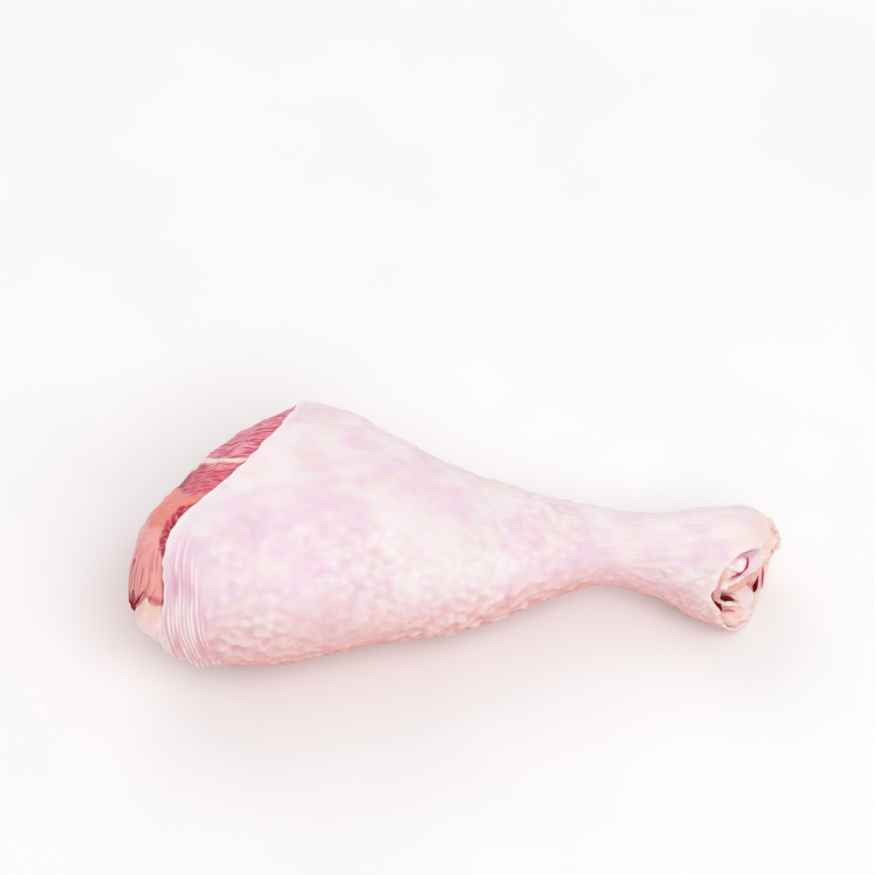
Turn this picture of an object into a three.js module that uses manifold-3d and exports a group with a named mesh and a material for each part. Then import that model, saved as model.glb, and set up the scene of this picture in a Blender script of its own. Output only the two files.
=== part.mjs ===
// A raw turkey drumstick lying on its side: a sleeve of skin round one mass of meat, the leg bone that runs
// through it, a pad of fat at the knee and the tendons cut off at the hock.
// Millimetres, +Z up. The knee end points to -X and the hock to +X; the calf is on the -Y side and the shin
// on the +Y side; the underside rests on z = 0.

import * as THREE from "three";
import { mergeVertices } from "three/addons/utils/BufferGeometryUtils.js";
import Module from "manifold-3d";

const wasm = await Module();
wasm.setup();

// ---- Driving dimensions ---------------------------------------------------------------------------------

const SKIN = 2.0; // thickness of the skin and the fat under it
const GAP = 0.4; // clearance between two pieces that lie on each other

// Cross-sections of the leg in its skin, from the knee to the hock. x, y and z are the section's centre,
// halfWidth is level and halfHeight upright. yaw turns the section about the upright, in degrees, so that the
// knee is cut on a slant.
const LEG = [
  { x: -86, y: -17, z: 33, halfWidth: 49, halfHeight: 33, yaw: 25 },
  { x: -71, y: -18.5, z: 33, halfWidth: 50.5, halfHeight: 34, yaw: 20 },
  { x: -55, y: -20, z: 33, halfWidth: 48.5, halfHeight: 34.2, yaw: 13 },
  { x: -37, y: -19.4, z: 32, halfWidth: 43, halfHeight: 33, yaw: 6 },
  { x: -18, y: -20.6, z: 29.5, halfWidth: 36.4, halfHeight: 29.5, yaw: 0 },
  { x: -1, y: -21.8, z: 26.5, halfWidth: 31, halfHeight: 25, yaw: 0 },
  { x: 16, y: -21.5, z: 24.5, halfWidth: 23.8, halfHeight: 20, yaw: 0 },
  { x: 34, y: -20.8, z: 23.5, halfWidth: 17.2, halfHeight: 16, yaw: 0 },
  { x: 51, y: -19.2, z: 22.5, halfWidth: 13, halfHeight: 13.2, yaw: 0 },
  { x: 68, y: -21, z: 20.5, halfWidth: 14.2, halfHeight: 14.2, yaw: 0 },
  { x: 85, y: -24.2, z: 19, halfWidth: 19.4, halfHeight: 17.6, yaw: 0 },
  { x: 98, y: -25.6, z: 18.6, halfWidth: 21.8, halfHeight: 19.4, yaw: 0 },
  { x: 106, y: -24.6, z: 18.4, halfWidth: 18.4, halfHeight: 16.4, yaw: 0 },
  { x: 112, y: -23, z: 18, halfWidth: 12, halfHeight: 11, yaw: 0 },
];
const SQUARENESS = 2.15; // exponent of the sections' ovals, where 2 is an ellipse
const CALF_FULLNESS = 0.06; // how much taller a section is on the calf side than on the shin side

// How far the skin's edge stands back from the first section, every 30 degrees round from the calf side: the
// skin reaches furthest over the top of the calf and least over the shin.
const KNEE_EDGE = [10, 8.4, 3, 13, 18.5, 16.5, 18, 17, 16, 14, 12, 8];
// The gathered pleats in the skin's edge, between two angles on the calf side.
const PLEATS = { count: 5, pitch: 2.4, height: 1.2, from: -75, to: 80 };

// The bare meat domes out past the skin's edge at the knee. Its top, where the bone shows, lies to the shin
// side of the middle and a little below it.
const DOME = { height: 24, shinward: 17, below: 4, roundness: 0.72 };
const MEAT_STEP = 1.2; // how far the bare meat stands in from the skin's outer face
// The grooves between the muscles that show at the knee, as angles in degrees.
const GROOVES = { at: [64, 88, 128, 172, 216, 262, 300, 338], depth: 3.4, width: 8 };

// The hock end: the skin stops on a slanting plane, and everything inside is placed from that plane's centre.
const HOCK_CENTRE = new THREE.Vector3(101.2, -28.5, 18);
const HOCK_NORMAL = new THREE.Vector3(0.88, -0.45, 0.13).normalize();
// Directions in that plane: the rise runs from the lower condyle to the upper one, and the side square to it.
const LOWER_TO_UPPER = new THREE.Vector3(0, 0.809, 0.588);
const HOCK_SIDE = new THREE.Vector3().crossVectors(HOCK_NORMAL, LOWER_TO_UPPER).normalize();
const HOCK_RISE = new THREE.Vector3().crossVectors(HOCK_SIDE, HOCK_NORMAL);
const MEAT_RECESS = 5; // how far inside the skin's opening the meat stops

// The bone from its head at the knee to where the condyles begin, as in LEG.
const BONE = [
  { x: -92, y: 6, z: 23.5, halfWidth: 11, halfHeight: 8.5, yaw: 34 },
  { x: -89.5, y: 4.8, z: 23.5, halfWidth: 15.5, halfHeight: 12, yaw: 34 },
  { x: -81, y: 0.5, z: 24.5, halfWidth: 17, halfHeight: 13.5, yaw: 30 },
  { x: -68, y: -5.5, z: 27, halfWidth: 13, halfHeight: 11.5, yaw: 20 },
  { x: -50, y: -11, z: 29.5, halfWidth: 8.8, halfHeight: 8.6, yaw: 8 },
  { x: -20, y: -14, z: 29.5, halfWidth: 7.6, halfHeight: 7.6, yaw: 0 },
  { x: 16, y: -16.5, z: 26, halfWidth: 7, halfHeight: 7, yaw: 0 },
  { x: 52, y: -19, z: 22.5, halfWidth: 6.4, halfHeight: 6.6, yaw: 0 },
  { x: 74, y: -21, z: 19.4, halfWidth: 8, halfHeight: 7.2, yaw: 6 },
  { x: 84, y: -23.5, z: 17.2, halfWidth: 9.6, halfHeight: 6.8, yaw: 14 },
  { x: 92, y: -25.8, z: 16.6, halfWidth: 9, halfHeight: 6.8, yaw: 20 },
];
// The two condyles of the hock joint: rise and side place each in the skin's opening, depth is how far its
// centre lies behind the opening, and size gives its half-lengths along the rise, the side and the depth.
const CONDYLES = [
  { rise: 6.6, side: -3.6, depth: 8.5, size: [8.2, 8.8, 10.5] },
  { rise: -8.4, side: 0, depth: 8, size: [7.6, 7.6, 10] },
];

// Tendons that run down the shank and are cut off at the hock: rise, side and depth place the cut end.
const TENDONS = [
  { rise: 2.8, side: 8.2, depth: 1, radius: 3.2, length: 14 },
  { rise: -5.2, side: 11, depth: 2.5, radius: 2.3, length: 12 },
  { rise: 11.5, side: 8.6, depth: 4, radius: 2.2, length: 12 },
];
const TENDON_RUN = new THREE.Vector3(1, -0.16, -0.06).normalize();

// The pad of fat against the skin's edge at the knee, low on the calf side: inward and outward shift its
// centre from that edge, and size gives its half-lengths along the leg, through the meat and round the leg.
const FAT = { angle: -13, inward: 6.5, outward: 7.2, size: [5.4, 6.6, 8.5] };

const AROUND = 36; // facets round the leg
const BONE_AROUND = 14; // and round the bone

// ---- Interpolation --------------------------------------------------------------------------------------

const DEGREE = Math.PI / 180;
const clamp = THREE.MathUtils.clamp;
const smoothstep = THREE.MathUtils.smoothstep;

// The value at u between b and c on a smooth curve through a, b, c and d.
function blend(a, b, c, d, u) {
  const bend = 2 * a - 5 * b + 4 * c - d + u * (3 * (b - c) + d - a);
  return b + 0.5 * u * (c - a + u * bend);
}

// A section at t, from 0 at the first station to 1 at the last.
function sectionAt(stations, t) {
  const place = clamp(t, 0, 1) * (stations.length - 1);
  const i = Math.min(Math.floor(place), stations.length - 2);
  const near = [i - 1, i, i + 1, i + 2].map((k) => stations[clamp(k, 0, stations.length - 1)]);
  const value = (key) => blend(...near.map((station) => station[key]), place - i);
  return {
    x: value("x"),
    y: value("y"),
    z: value("z"),
    halfWidth: value("halfWidth"),
    halfHeight: value("halfHeight"),
    yaw: value("yaw") * DEGREE,
  };
}

// A point of a section. angle 0 is the calf side, 90 degrees the top and 180 the shin side. inset moves the
// point inwards, and nothing goes lower than the inset above the table.
function sectionPoint(section, angle, inset, scale = 1) {
  const c = Math.cos(angle);
  const s = Math.sin(angle);
  const reach = (Math.abs(c) ** SQUARENESS + Math.abs(s) ** SQUARENESS) ** (-1 / SQUARENESS);
  const across = (section.halfWidth - inset) * scale * c * reach;
  const up = (section.halfHeight * (1 + CALF_FULLNESS * c) - inset) * scale * s * reach;
  return new THREE.Vector3(
    section.x - Math.sin(section.yaw) * across,
    section.y - Math.cos(section.yaw) * across,
    Math.max(section.z + up, Math.max(inset, 0)),
  );
}

const legPoint = (t, angle, inset) => sectionPoint(sectionAt(LEG, t), angle, inset);

// The t that lies a given distance along the leg's surface from another t, at one angle.
function walk(t, angle, distance) {
  const step = 0.0005;
  let from = legPoint(t, angle, 0);
  let left = distance;
  while (left > 0 && t < 1) {
    const next = legPoint(t + step, angle, 0);
    left -= next.distanceTo(from);
    from = next;
    t += step;
  }
  return t;
}

// ---- Building solids ------------------------------------------------------------------------------------

const angles = (count) => Array.from({ length: count }, (_, j) => (j * 2 * Math.PI) / count);

function spread(from, to, count) {
  return Array.from({ length: count }, (_, i) => from + ((to - from) * i) / (count - 1));
}

// Columns of points, one for each angle, turned into rings.
const ringsOf = (columns) => columns[0].map((_, i) => columns.map((column) => column[i]));

// A closed solid from rings of points that all have the same count. With wrap the last ring joins the first;
// without it each end is closed by a fan round the ring's middle, and the four-sided facets are split along
// their other diagonal, so that the meat's facets lie level with the skin's inner ones.
function solidFromRings(rings, wrap) {
  const count = rings[0].length;
  const points = rings.flat();
  const faces = [];
  const last = wrap ? rings.length : rings.length - 1;
  for (let i = 0; i < last; i++) {
    const next = (i + 1) % rings.length;
    for (let j = 0; j < count; j++) {
      const k = (j + 1) % count;
      const [a, b] = [i * count + j, i * count + k];
      const [c, d] = [next * count + j, next * count + k];
      faces.push(...(wrap ? [a, c, b, b, c, d] : [a, c, d, a, d, b]));
    }
  }
  if (!wrap) {
    const middle = (ring) => ring.reduce((sum, p) => sum.add(p), new THREE.Vector3()).divideScalar(count);
    const start = points.push(middle(rings[0])) - 1;
    const end = points.push(middle(rings.at(-1))) - 1;
    const tail = (rings.length - 1) * count;
    for (let j = 0; j < count; j++) {
      const k = (j + 1) % count;
      faces.push(start, j, k, end, tail + k, tail + j);
    }
  }
  const vertProperties = new Float32Array(points.flatMap((p) => [p.x, p.y, p.z]));
  return new wasm.Manifold(new wasm.Mesh({ numProp: 3, vertProperties, triVerts: new Uint32Array(faces) }));
}

// A three.js geometry as a solid, after a matrix has put it in place.
function solidFromGeometry(geometry, matrix) {
  const placed = geometry.clone().applyMatrix4(matrix);
  placed.deleteAttribute("normal");
  placed.deleteAttribute("uv");
  const merged = mergeVertices(placed, 1e-4);
  return new wasm.Manifold(
    new wasm.Mesh({
      numProp: 3,
      vertProperties: merged.attributes.position.array,
      triVerts: new Uint32Array(merged.index.array),
    }),
  );
}

function geometryFromSolid(solid) {
  const { vertProperties, triVerts } = solid.getMesh();
  const geometry = new THREE.BufferGeometry();
  geometry.setAttribute("position", new THREE.BufferAttribute(vertProperties, 3));
  geometry.setIndex(new THREE.BufferAttribute(triVerts, 1));
  geometry.computeVertexNormals();
  return geometry;
}

// ---- The skin -------------------------------------------------------------------------------------------

// How far the skin's edge stands back from the first section at an angle.
function kneeSetback(angle) {
  const place = ((angle / DEGREE + 360) % 360) / (360 / KNEE_EDGE.length);
  const i = Math.floor(place);
  const [a, b, c, d] = [-1, 0, 1, 2].map((k) => KNEE_EDGE[(i + k + KNEE_EDGE.length) % KNEE_EDGE.length]);
  return blend(a, b, c, d, place - i);
}

// Where the leg's surface, or a layer inset under it, meets the slanting plane of the hock.
function hockEdge(angle, inset = 0, recess = 0) {
  let [low, high] = [0.7, 1];
  for (let i = 0; i < 30; i++) {
    const t = (low + high) / 2;
    const past = legPoint(t, angle, inset).sub(HOCK_CENTRE).dot(HOCK_NORMAL) + recess;
    if (past > 0) high = t;
    else low = t;
  }
  return low;
}

// How far the pleats lift the skin, a distance in from its edge. They fade out at both ends of the gathering.
function pleatLift(angle, distance) {
  const turn = ((angle / DEGREE + 180) % 360) - 180;
  const start = smoothstep(turn, PLEATS.from, PLEATS.from + 35);
  const finish = 1 - smoothstep(turn, PLEATS.to - 45, PLEATS.to);
  const across = distance / PLEATS.pitch;
  const height = PLEATS.height * (1 - 0.6 * (across / PLEATS.count));
  return across < PLEATS.count ? start * finish * height * (0.5 - 0.5 * Math.cos(2 * Math.PI * across)) : 0;
}

const INNER_RINGS = 16; // rings of the skin's inner face, which the meat's own rings lie level with

// The skin is a sleeve: each column of points runs over its outer face from the knee to the hock and back
// along its inner face.
function skinSolid() {
  const perPleat = 4;
  const pleatRings = PLEATS.count * perPleat;
  const outerRings = 17;
  const columns = angles(AROUND).map((angle) => {
    const start = walk(0, angle, kneeSetback(angle));
    const bend = walk(start, angle, PLEATS.count * PLEATS.pitch);
    const end = hockEdge(angle);
    const column = [];
    for (let i = 0; i < pleatRings; i++) {
      const distance = (i / perPleat) * PLEATS.pitch;
      column.push(legPoint(start + ((bend - start) * i) / pleatRings, angle, -pleatLift(angle, distance)));
    }
    column.push(...spread(bend, end, outerRings).map((t) => legPoint(t, angle, 0)));
    column.push(legPoint(end, angle, SKIN / 2).addScaledVector(HOCK_NORMAL, SKIN / 3));
    column.push(...spread(end, start, INNER_RINGS).map((t) => legPoint(t, angle, SKIN)));
    const rim = legPoint(start, angle, SKIN / 2);
    const outwards = rim.clone().sub(legPoint(bend, angle, SKIN / 2)).setLength(SKIN / 3);
    column.push(rim.add(outwards));
    return column;
  });
  return solidFromRings(ringsOf(columns), true);
}

// ---- The meat -------------------------------------------------------------------------------------------

function grooveDepth(angle) {
  const turn = (angle / DEGREE + 360) % 360;
  const nearest = Math.min(...GROOVES.at.map((at) => Math.abs(((turn - at + 540) % 360) - 180)));
  return GROOVES.depth * Math.exp(-((nearest / GROOVES.width) ** 2));
}

// The skin's edge at the knee, as a point on the leg at each angle and an inset.
const kneeRim = (angle, inset) => legPoint(walk(0, angle, kneeSetback(angle)), angle, inset);
const rim = angles(AROUND).map((angle) => kneeRim(angle, MEAT_STEP));
const rimMiddle = rim.reduce((sum, p) => sum.add(p), new THREE.Vector3()).divideScalar(AROUND);
const domeFoot = rimMiddle.add(new THREE.Vector3(0, DOME.shinward, -DOME.below));

// A point of the dome: lift runs from 0 at the skin's edge to 90 degrees at the dome's top.
function domePoint(angle, lift, inset) {
  const spread = Math.cos(lift) ** DOME.roundness;
  const point = domeFoot.clone().lerp(kneeRim(angle, MEAT_STEP + inset), spread);
  point.x -= DOME.height * Math.sin(lift);
  return point;
}

// Each column of points runs over the dome to the skin's edge, and on under the skin.
function meatSolid() {
  const domeRings = 11;
  const under = SKIN + GAP;
  const columns = angles(AROUND).map((angle) => {
    const column = [];
    for (let i = 1; i <= domeRings; i++) {
      const lift = (1 - i / (domeRings + 0.7)) * (Math.PI / 2);
      column.push(domePoint(angle, lift, grooveDepth(angle) * Math.sin(Math.min(lift * 2.5, Math.PI / 2))));
    }
    const [start, end] = [walk(0, angle, kneeSetback(angle)), hockEdge(angle)];
    column.push(legPoint(walk(0, angle, kneeSetback(angle) - 1), angle, under + GAP / 2));
    column.push(...spread(start, end, INNER_RINGS).slice(0, -1).map((t) => legPoint(t, angle, under)));
    column.push(legPoint(hockEdge(angle, under, MEAT_RECESS), angle, under + GAP));
    return column;
  });
  return solidFromRings(ringsOf(columns), false);
}

// ---- The bone, the tendons and the fat ------------------------------------------------------------------

// Places a shape in the skin's opening at the hock: its x along the rise, its y along the side and its z out
// of the leg, with the shape's middle at a depth behind the opening.
function hockMatrix(rise, side, depth) {
  const place = HOCK_CENTRE.clone()
    .addScaledVector(HOCK_RISE, rise)
    .addScaledVector(HOCK_SIDE, side)
    .addScaledVector(HOCK_NORMAL, -depth);
  return new THREE.Matrix4().makeBasis(HOCK_RISE, HOCK_SIDE, HOCK_NORMAL).setPosition(place);
}

function shaftSolid(grow) {
  const steps = 15;
  const rings = Array.from({ length: steps + 1 }, (_, i) => {
    const section = sectionAt(BONE, i / steps);
    return angles(BONE_AROUND).map((angle) => sectionPoint(section, angle, -grow));
  });
  return solidFromRings(rings, false);
}

function boneSolid(grow = 0) {
  return CONDYLES.reduce((bone, { rise, side, depth, size }) => {
    const ball = new THREE.SphereGeometry(1, 14, 9).scale(...size.map((half) => half + grow));
    return bone.add(solidFromGeometry(ball, hockMatrix(rise, side, depth)));
  }, shaftSolid(grow));
}

function tendonSolid({ rise, side, depth, radius, length }, grow = 0) {
  const cord = new THREE.CapsuleGeometry(radius + grow, length - 2 * radius, 3, 12);
  cord.translate(0, -length / 2, 0);
  const turn = new THREE.Quaternion().setFromUnitVectors(new THREE.Vector3(0, 1, 0), TENDON_RUN);
  const place = new THREE.Vector3().setFromMatrixPosition(hockMatrix(rise, side, depth));
  return solidFromGeometry(cord, new THREE.Matrix4().compose(place, turn, new THREE.Vector3(1, 1, 1)));
}

function fatSolid(grow = 0) {
  const angle = FAT.angle * DEGREE;
  const place = kneeRim(angle, FAT.inward);
  place.x -= FAT.outward;
  const lump = new THREE.SphereGeometry(1, 14, 9).scale(...FAT.size.map((half) => half + grow));
  return solidFromGeometry(lump, new THREE.Matrix4().makeRotationX(angle).setPosition(place));
}

// ---- The drumstick --------------------------------------------------------------------------------------

const flesh = (color, roughness) => new THREE.MeshStandardMaterial({ color, roughness, metalness: 0 });
const SKIN_FINISH = flesh(0xf1dbe0, 0.45);
const MEAT_FINISH = flesh(0xdb8d93, 0.35);
const BONE_FINISH = flesh(0xf0d9d8, 0.3);
const TENDON_FINISH = flesh(0xf7efe6, 0.35);
const FAT_FINISH = flesh(0xf3dccb, 0.4);

function piece(name, solid, material) {
  const mesh = new THREE.Mesh(geometryFromSolid(solid), material);
  mesh.name = name;
  return mesh;
}

// The meat is cut back round everything that lies in it.
const inMeat = [boneSolid(GAP), fatSolid(GAP), ...TENDONS.map((tendon) => tendonSolid(tendon, GAP))];
const meat = inMeat.reduce((rest, solid) => rest.subtract(solid), meatSolid());

const leg = new THREE.Group();
leg.add(piece("skin", skinSolid(), SKIN_FINISH));
leg.add(piece("meat", meat, MEAT_FINISH));
leg.add(piece("leg_bone", boneSolid(), BONE_FINISH));
leg.add(piece("knee_fat", fatSolid(), FAT_FINISH));
TENDONS.forEach((tendon, i) => leg.add(piece(`tendon_${i + 1}`, tendonSolid(tendon), TENDON_FINISH)));

// The origin is the middle of the outline on the table.
const middle = new THREE.Box3().setFromObject(leg).getCenter(new THREE.Vector3());
leg.position.set(-middle.x, -middle.y, 0);

const drumstick = new THREE.Group();
drumstick.add(leg);

export default drumstick;
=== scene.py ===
# %% [markdown]
# # A raw turkey drumstick
#
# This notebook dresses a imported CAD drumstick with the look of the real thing. A drumstick is the lower leg of
# the bird, cut off at the knee and at the hock. Five things show: the skin with its feather follicles, the
# muscles at the knee, a pad of fat, the cartilage of the leg bone, and the tendons that run down the shank.
#
# Each of them becomes a mesh of its own here. The shapes are worked out with arrays of points in millimetres,
# and turned into metres when a mesh is made.

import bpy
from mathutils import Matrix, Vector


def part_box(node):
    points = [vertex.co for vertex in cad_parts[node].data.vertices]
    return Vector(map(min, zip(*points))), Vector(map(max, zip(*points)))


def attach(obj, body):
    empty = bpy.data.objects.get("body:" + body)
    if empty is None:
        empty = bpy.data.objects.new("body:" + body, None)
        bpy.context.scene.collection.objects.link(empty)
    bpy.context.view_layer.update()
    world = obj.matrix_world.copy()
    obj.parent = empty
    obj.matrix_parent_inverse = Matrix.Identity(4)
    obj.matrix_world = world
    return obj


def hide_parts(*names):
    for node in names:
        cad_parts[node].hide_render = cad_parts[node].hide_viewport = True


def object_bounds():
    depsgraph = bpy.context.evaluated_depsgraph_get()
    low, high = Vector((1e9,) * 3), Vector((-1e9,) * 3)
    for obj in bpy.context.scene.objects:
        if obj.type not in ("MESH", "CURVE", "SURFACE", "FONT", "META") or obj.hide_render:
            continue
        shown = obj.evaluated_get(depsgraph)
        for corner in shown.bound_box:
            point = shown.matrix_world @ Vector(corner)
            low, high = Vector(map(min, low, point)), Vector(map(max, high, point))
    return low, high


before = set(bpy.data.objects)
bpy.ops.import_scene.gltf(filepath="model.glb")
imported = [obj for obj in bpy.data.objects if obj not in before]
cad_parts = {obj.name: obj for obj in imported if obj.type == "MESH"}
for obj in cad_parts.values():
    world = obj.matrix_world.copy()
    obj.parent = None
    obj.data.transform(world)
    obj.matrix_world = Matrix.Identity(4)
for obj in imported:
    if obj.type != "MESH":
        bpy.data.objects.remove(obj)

# %% [markdown]
# ## Tools and sizes
#
# NumPy works out thousands of points at once. The CAD model's box is kept for the end, where its middle places
# the camera.

# %% Tools and the CAD box
import math

import bpy
import numpy as np
from mathutils import Vector, kdtree

cad_low, cad_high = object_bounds()
MM = 0.001
print("CAD box, mm:", [round(v / MM, 1) for v in cad_low], [round(v / MM, 1) for v in cad_high])

# %% [markdown]
# ## The leg as a row of ovals
#
# The leg is described by ovals along its length, from the knee to the hock. Each row gives the oval's middle,
# its half width and half height, and how far it is turned about the upright. A smooth curve runs through the
# rows, so any place on the leg can be asked for: `t` runs from 0 at the knee to 1 at the hock, and the angle
# runs round the leg from the calf side, over the top at 90 degrees, to the shin side at 180.

# %% Ovals of the leg
LEG = [
    # x, y, z, half width, half height, turn
    [-86, -17, 33, 49, 33, 25],
    [-71, -18.5, 33, 50.5, 34, 20],
    [-55, -20, 33, 48.5, 34.2, 13],
    [-37, -19.4, 32, 43, 33, 6],
    [-18, -20.6, 29.5, 36.4, 29.5, 0],
    [-1, -21.8, 26.5, 31, 25, 0],
    [16, -21.5, 24.5, 23.8, 20, 0],
    [34, -20.8, 23.5, 17.2, 16, 0],
    [51, -19.2, 22.5, 13, 13.2, 0],
    [68, -21, 20.5, 14.2, 14.2, 0],
    [85, -24.2, 19, 19.4, 17.6, 0],
    [98, -25.6, 18.6, 21.8, 19.4, 0],
    [106, -24.6, 18.4, 18.4, 16.4, 0],
    [112, -23, 18, 12, 11, 0],
]
SQUARENESS = 2.15  # 2 would be a true ellipse
CALF_FULLNESS = 0.06


def blend(a, b, c, d, u):
    """The value at u between b and c on a smooth curve through a, b, c and d."""
    bend = 2 * a - 5 * b + 4 * c - d + u * (3 * (b - c) + d - a)
    return b + 0.5 * u * (c - a + u * bend)


def curve(rows, place, closed=False):
    """The rows of a table at places between them, on a smooth curve that may close on its first row."""
    rows, count = np.asarray(rows, float), len(rows)
    before = np.minimum(np.floor(place).astype(int), count - (1 if closed else 2))
    near = [rows[(before + k) % count if closed else np.clip(before + k, 0, count - 1)] for k in (-1, 0, 1, 2)]
    u = place - before
    return blend(*near, u[..., None] if rows.ndim > 1 else u)


def oval_point(ovals, t, angle, inset=0.0):
    """A point of a row of ovals, moved in by inset. Nothing goes lower than the inset above the table."""
    t, angle, inset = np.broadcast_arrays(*(np.asarray(v, float) for v in (t, angle, inset)))
    oval_here = curve(ovals, np.clip(t, 0, 1) * (len(ovals) - 1))
    x, y, z, half_width, half_height, turn = np.moveaxis(oval_here, -1, 0)
    level, upright = np.cos(angle), np.sin(angle)
    reach = (np.abs(level) ** SQUARENESS + np.abs(upright) ** SQUARENESS) ** (-1 / SQUARENESS)
    across = (half_width - inset) * level * reach
    up = (half_height * (1 + CALF_FULLNESS * level) - inset) * upright * reach
    turn = np.radians(turn)
    height = np.maximum(z + up, np.maximum(inset, 0))
    return np.stack([x - np.sin(turn) * across, y - np.cos(turn) * across, height], -1)


def leg_point(t, angle, inset=0.0):
    return oval_point(LEG, t, angle, inset)


def circle(count):
    """Angles that go once round, in radians."""
    return np.arange(count) * 2 * np.pi / count


def unit(vectors):
    vectors = np.asarray(vectors, float)
    return vectors / (np.linalg.norm(vectors, axis=-1, keepdims=True) + 1e-12)


print("widest oval of the leg, mm:", max(2 * row[3] for row in LEG))

# %% [markdown]
# ## Where the skin ends
#
# At the knee the skin has pulled back unevenly: it reaches furthest over the top of the calf. At the hock it was
# cut on a slant. Distances along the skin are measured in millimetres from the knee edge, because folds and
# follicles keep their spacing there, whatever the shape of the leg does.

# %% Edges of the skin
KNEE_EDGE = [10, 8.4, 3, 13, 18.5, 16.5, 18, 17, 16, 14, 12, 8]  # one every 30 degrees round the leg
HOCK_CENTRE = np.array([101.2, -28.5, 18])
HOCK_OUT = unit([0.88, -0.45, 0.13])
HOCK_SIDE = unit(np.cross(HOCK_OUT, [0, 0.809, 0.588]))
HOCK_RISE = np.cross(HOCK_SIDE, HOCK_OUT)
FINE_T = np.linspace(0, 1, 2001)
PAST_THE_WAIST = 1400  # the hock's plane is only looked for beyond this fine t


def knee_setback(angle):
    """How far the skin's edge stands back from the first oval."""
    return curve(KNEE_EDGE, (np.degrees(angle) % 360) / 30, closed=True)


def leg_lengths(angle):
    """Distance along the leg at every fine t, for each angle."""
    line = leg_point(FINE_T[None, :], angle[:, None])
    steps = np.linalg.norm(np.diff(line, axis=1), axis=2)
    return np.concatenate([np.zeros((len(angle), 1)), np.cumsum(steps, 1)], 1)


def t_after(run, lengths):
    """The t of each place in a grid of distances along the leg, column by column."""
    return np.stack([np.interp(column, length, FINE_T) for column, length in zip(run.T, lengths)], 1)


def run_to(t, lengths):
    """The distance along the leg to a t, for each angle."""
    return np.array([np.interp(place, FINE_T, length) for place, length in zip(t, lengths)])


def hock_t(angle, inset=0.0, recess=0.0):
    """Where the leg, or a layer inset under it, meets the slanting plane of the hock."""
    past = (leg_point(FINE_T[None, :], angle[:, None], inset) - HOCK_CENTRE) @ HOCK_OUT + recess
    past[:, :PAST_THE_WAIST] = -1
    i = np.argmax(past > 0, axis=1)
    row = np.arange(len(angle))
    before, after = past[row, i - 1], past[row, i]
    return FINE_T[i - 1] + (FINE_T[1] - FINE_T[0]) * before / (before - after)


def hock_place(rise, side, depth):
    """A point in the opening at the hock: depth is how far it lies behind the opening."""
    return HOCK_CENTRE + HOCK_RISE * rise + HOCK_SIDE * side - HOCK_OUT * depth


def in_hock(points):
    """How far points lie from the hock's centre: along its rise, to its side and out of it."""
    from_centre = points - HOCK_CENTRE
    return from_centre @ HOCK_RISE, from_centre @ HOCK_SIDE, from_centre @ HOCK_OUT


print("the hock's opening faces", HOCK_OUT.round(2), "and its upper side lies towards", HOCK_RISE.round(2))

# %% [markdown]
# ## Helpers for soft shapes
#
# `lumps` is a smooth random field: a sum of waves that run in random directions. The seed fixes it, so the
# drumstick is the same every time. `smooth` is the usual soft step, `ridge` is a soft hill along a line, and
# `oval` is 1 inside an oval patch and fades to 0 outside it.

# %% Soft shapes
def lumps(points, size, seed, waves=28):
    """A random field of about -1 to 1, whose lumps are about size millimetres across."""
    rng = np.random.default_rng(seed)
    directions = unit(rng.normal(size=(waves, 3)))
    lengths = size * rng.uniform(1.5, 2.8, waves)
    phases = rng.uniform(0, 2 * np.pi, waves)
    return np.sin(points @ (directions / lengths[:, None]).T * 2 * np.pi + phases).sum(-1) * (2 / waves) ** 0.5


def smooth(value, low, high):
    u = np.clip((value - low) / (high - low), 0, 1)
    return u * u * (3 - 2 * u)


def ridge(distance, front, back=None):
    """1 on a line and less beside it. The front, where distance is negative, can be steeper than the back."""
    return np.exp(-((distance / np.where(distance < 0, front, back or front)) ** 2))


def turned(angle, middle):
    """Degrees from a middle angle, between -180 and 180."""
    return (np.degrees(angle) - middle + 180) % 360 - 180


def ridge_at(angle, middle, front, back=None):
    """A ridge that runs along the leg, at a middle angle."""
    return ridge(turned(angle, middle), front, back)


def tilted(u, v, tilt):
    """Two distances as they read on axes that are turned by some degrees."""
    cosine, sine = math.cos(math.radians(tilt)), math.sin(math.radians(tilt))
    return u * cosine + v * sine, v * cosine - u * sine


def oval(u, v, half_u, half_v, tilt=0.0, soft=0.25):
    """1 inside an oval patch and 0 outside it, with a soft rim."""
    along_tilt, off_tilt = tilted(u, v, tilt)
    return 1 - smooth(np.hypot(along_tilt / half_u, off_tilt / half_v), 1 - soft, 1 + soft)


def round_table(table, angle):
    """A value that changes smoothly round the leg, from a table of degrees and values."""
    degrees, values = np.array(table, float).T
    turn = np.degrees(angle) % 360
    around = np.concatenate([degrees - 360, degrees, degrees + 360])
    repeated = np.tile(values, 3)
    i = np.clip(np.searchsorted(around, turn, side="right") - 1, 1, len(around) - 3)
    u = (turn - around[i]) / (around[i + 1] - around[i])
    return blend(*(repeated[i + k] for k in (-1, 0, 1, 2)), u)


print("a ridge of 10 mm, at 0, 5, 10, 15 and 20 mm from its line:", ridge(np.arange(0, 25, 5), 10).round(2))

# %% [markdown]
# ## From points to meshes
#
# Most pieces are grids: rows along the leg, and columns round it. Where a grid has to be closed at both ends, a
# point is added in the middle of each end row, with a fan of triangles round it.

# %% Grids
def grid_faces(rows, columns, wrap):
    """Four-sided faces of a grid whose columns close round the leg. With wrap the last row joins the first."""
    i = np.arange(rows if wrap else rows - 1)[:, None] * columns
    j = np.arange(columns)[None, :]
    up = (i + columns) % (rows * columns)
    across = (j + 1) % columns
    return np.stack([i + j, i + across, up + across, up + j], -1).reshape(-1, 4).tolist()


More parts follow.
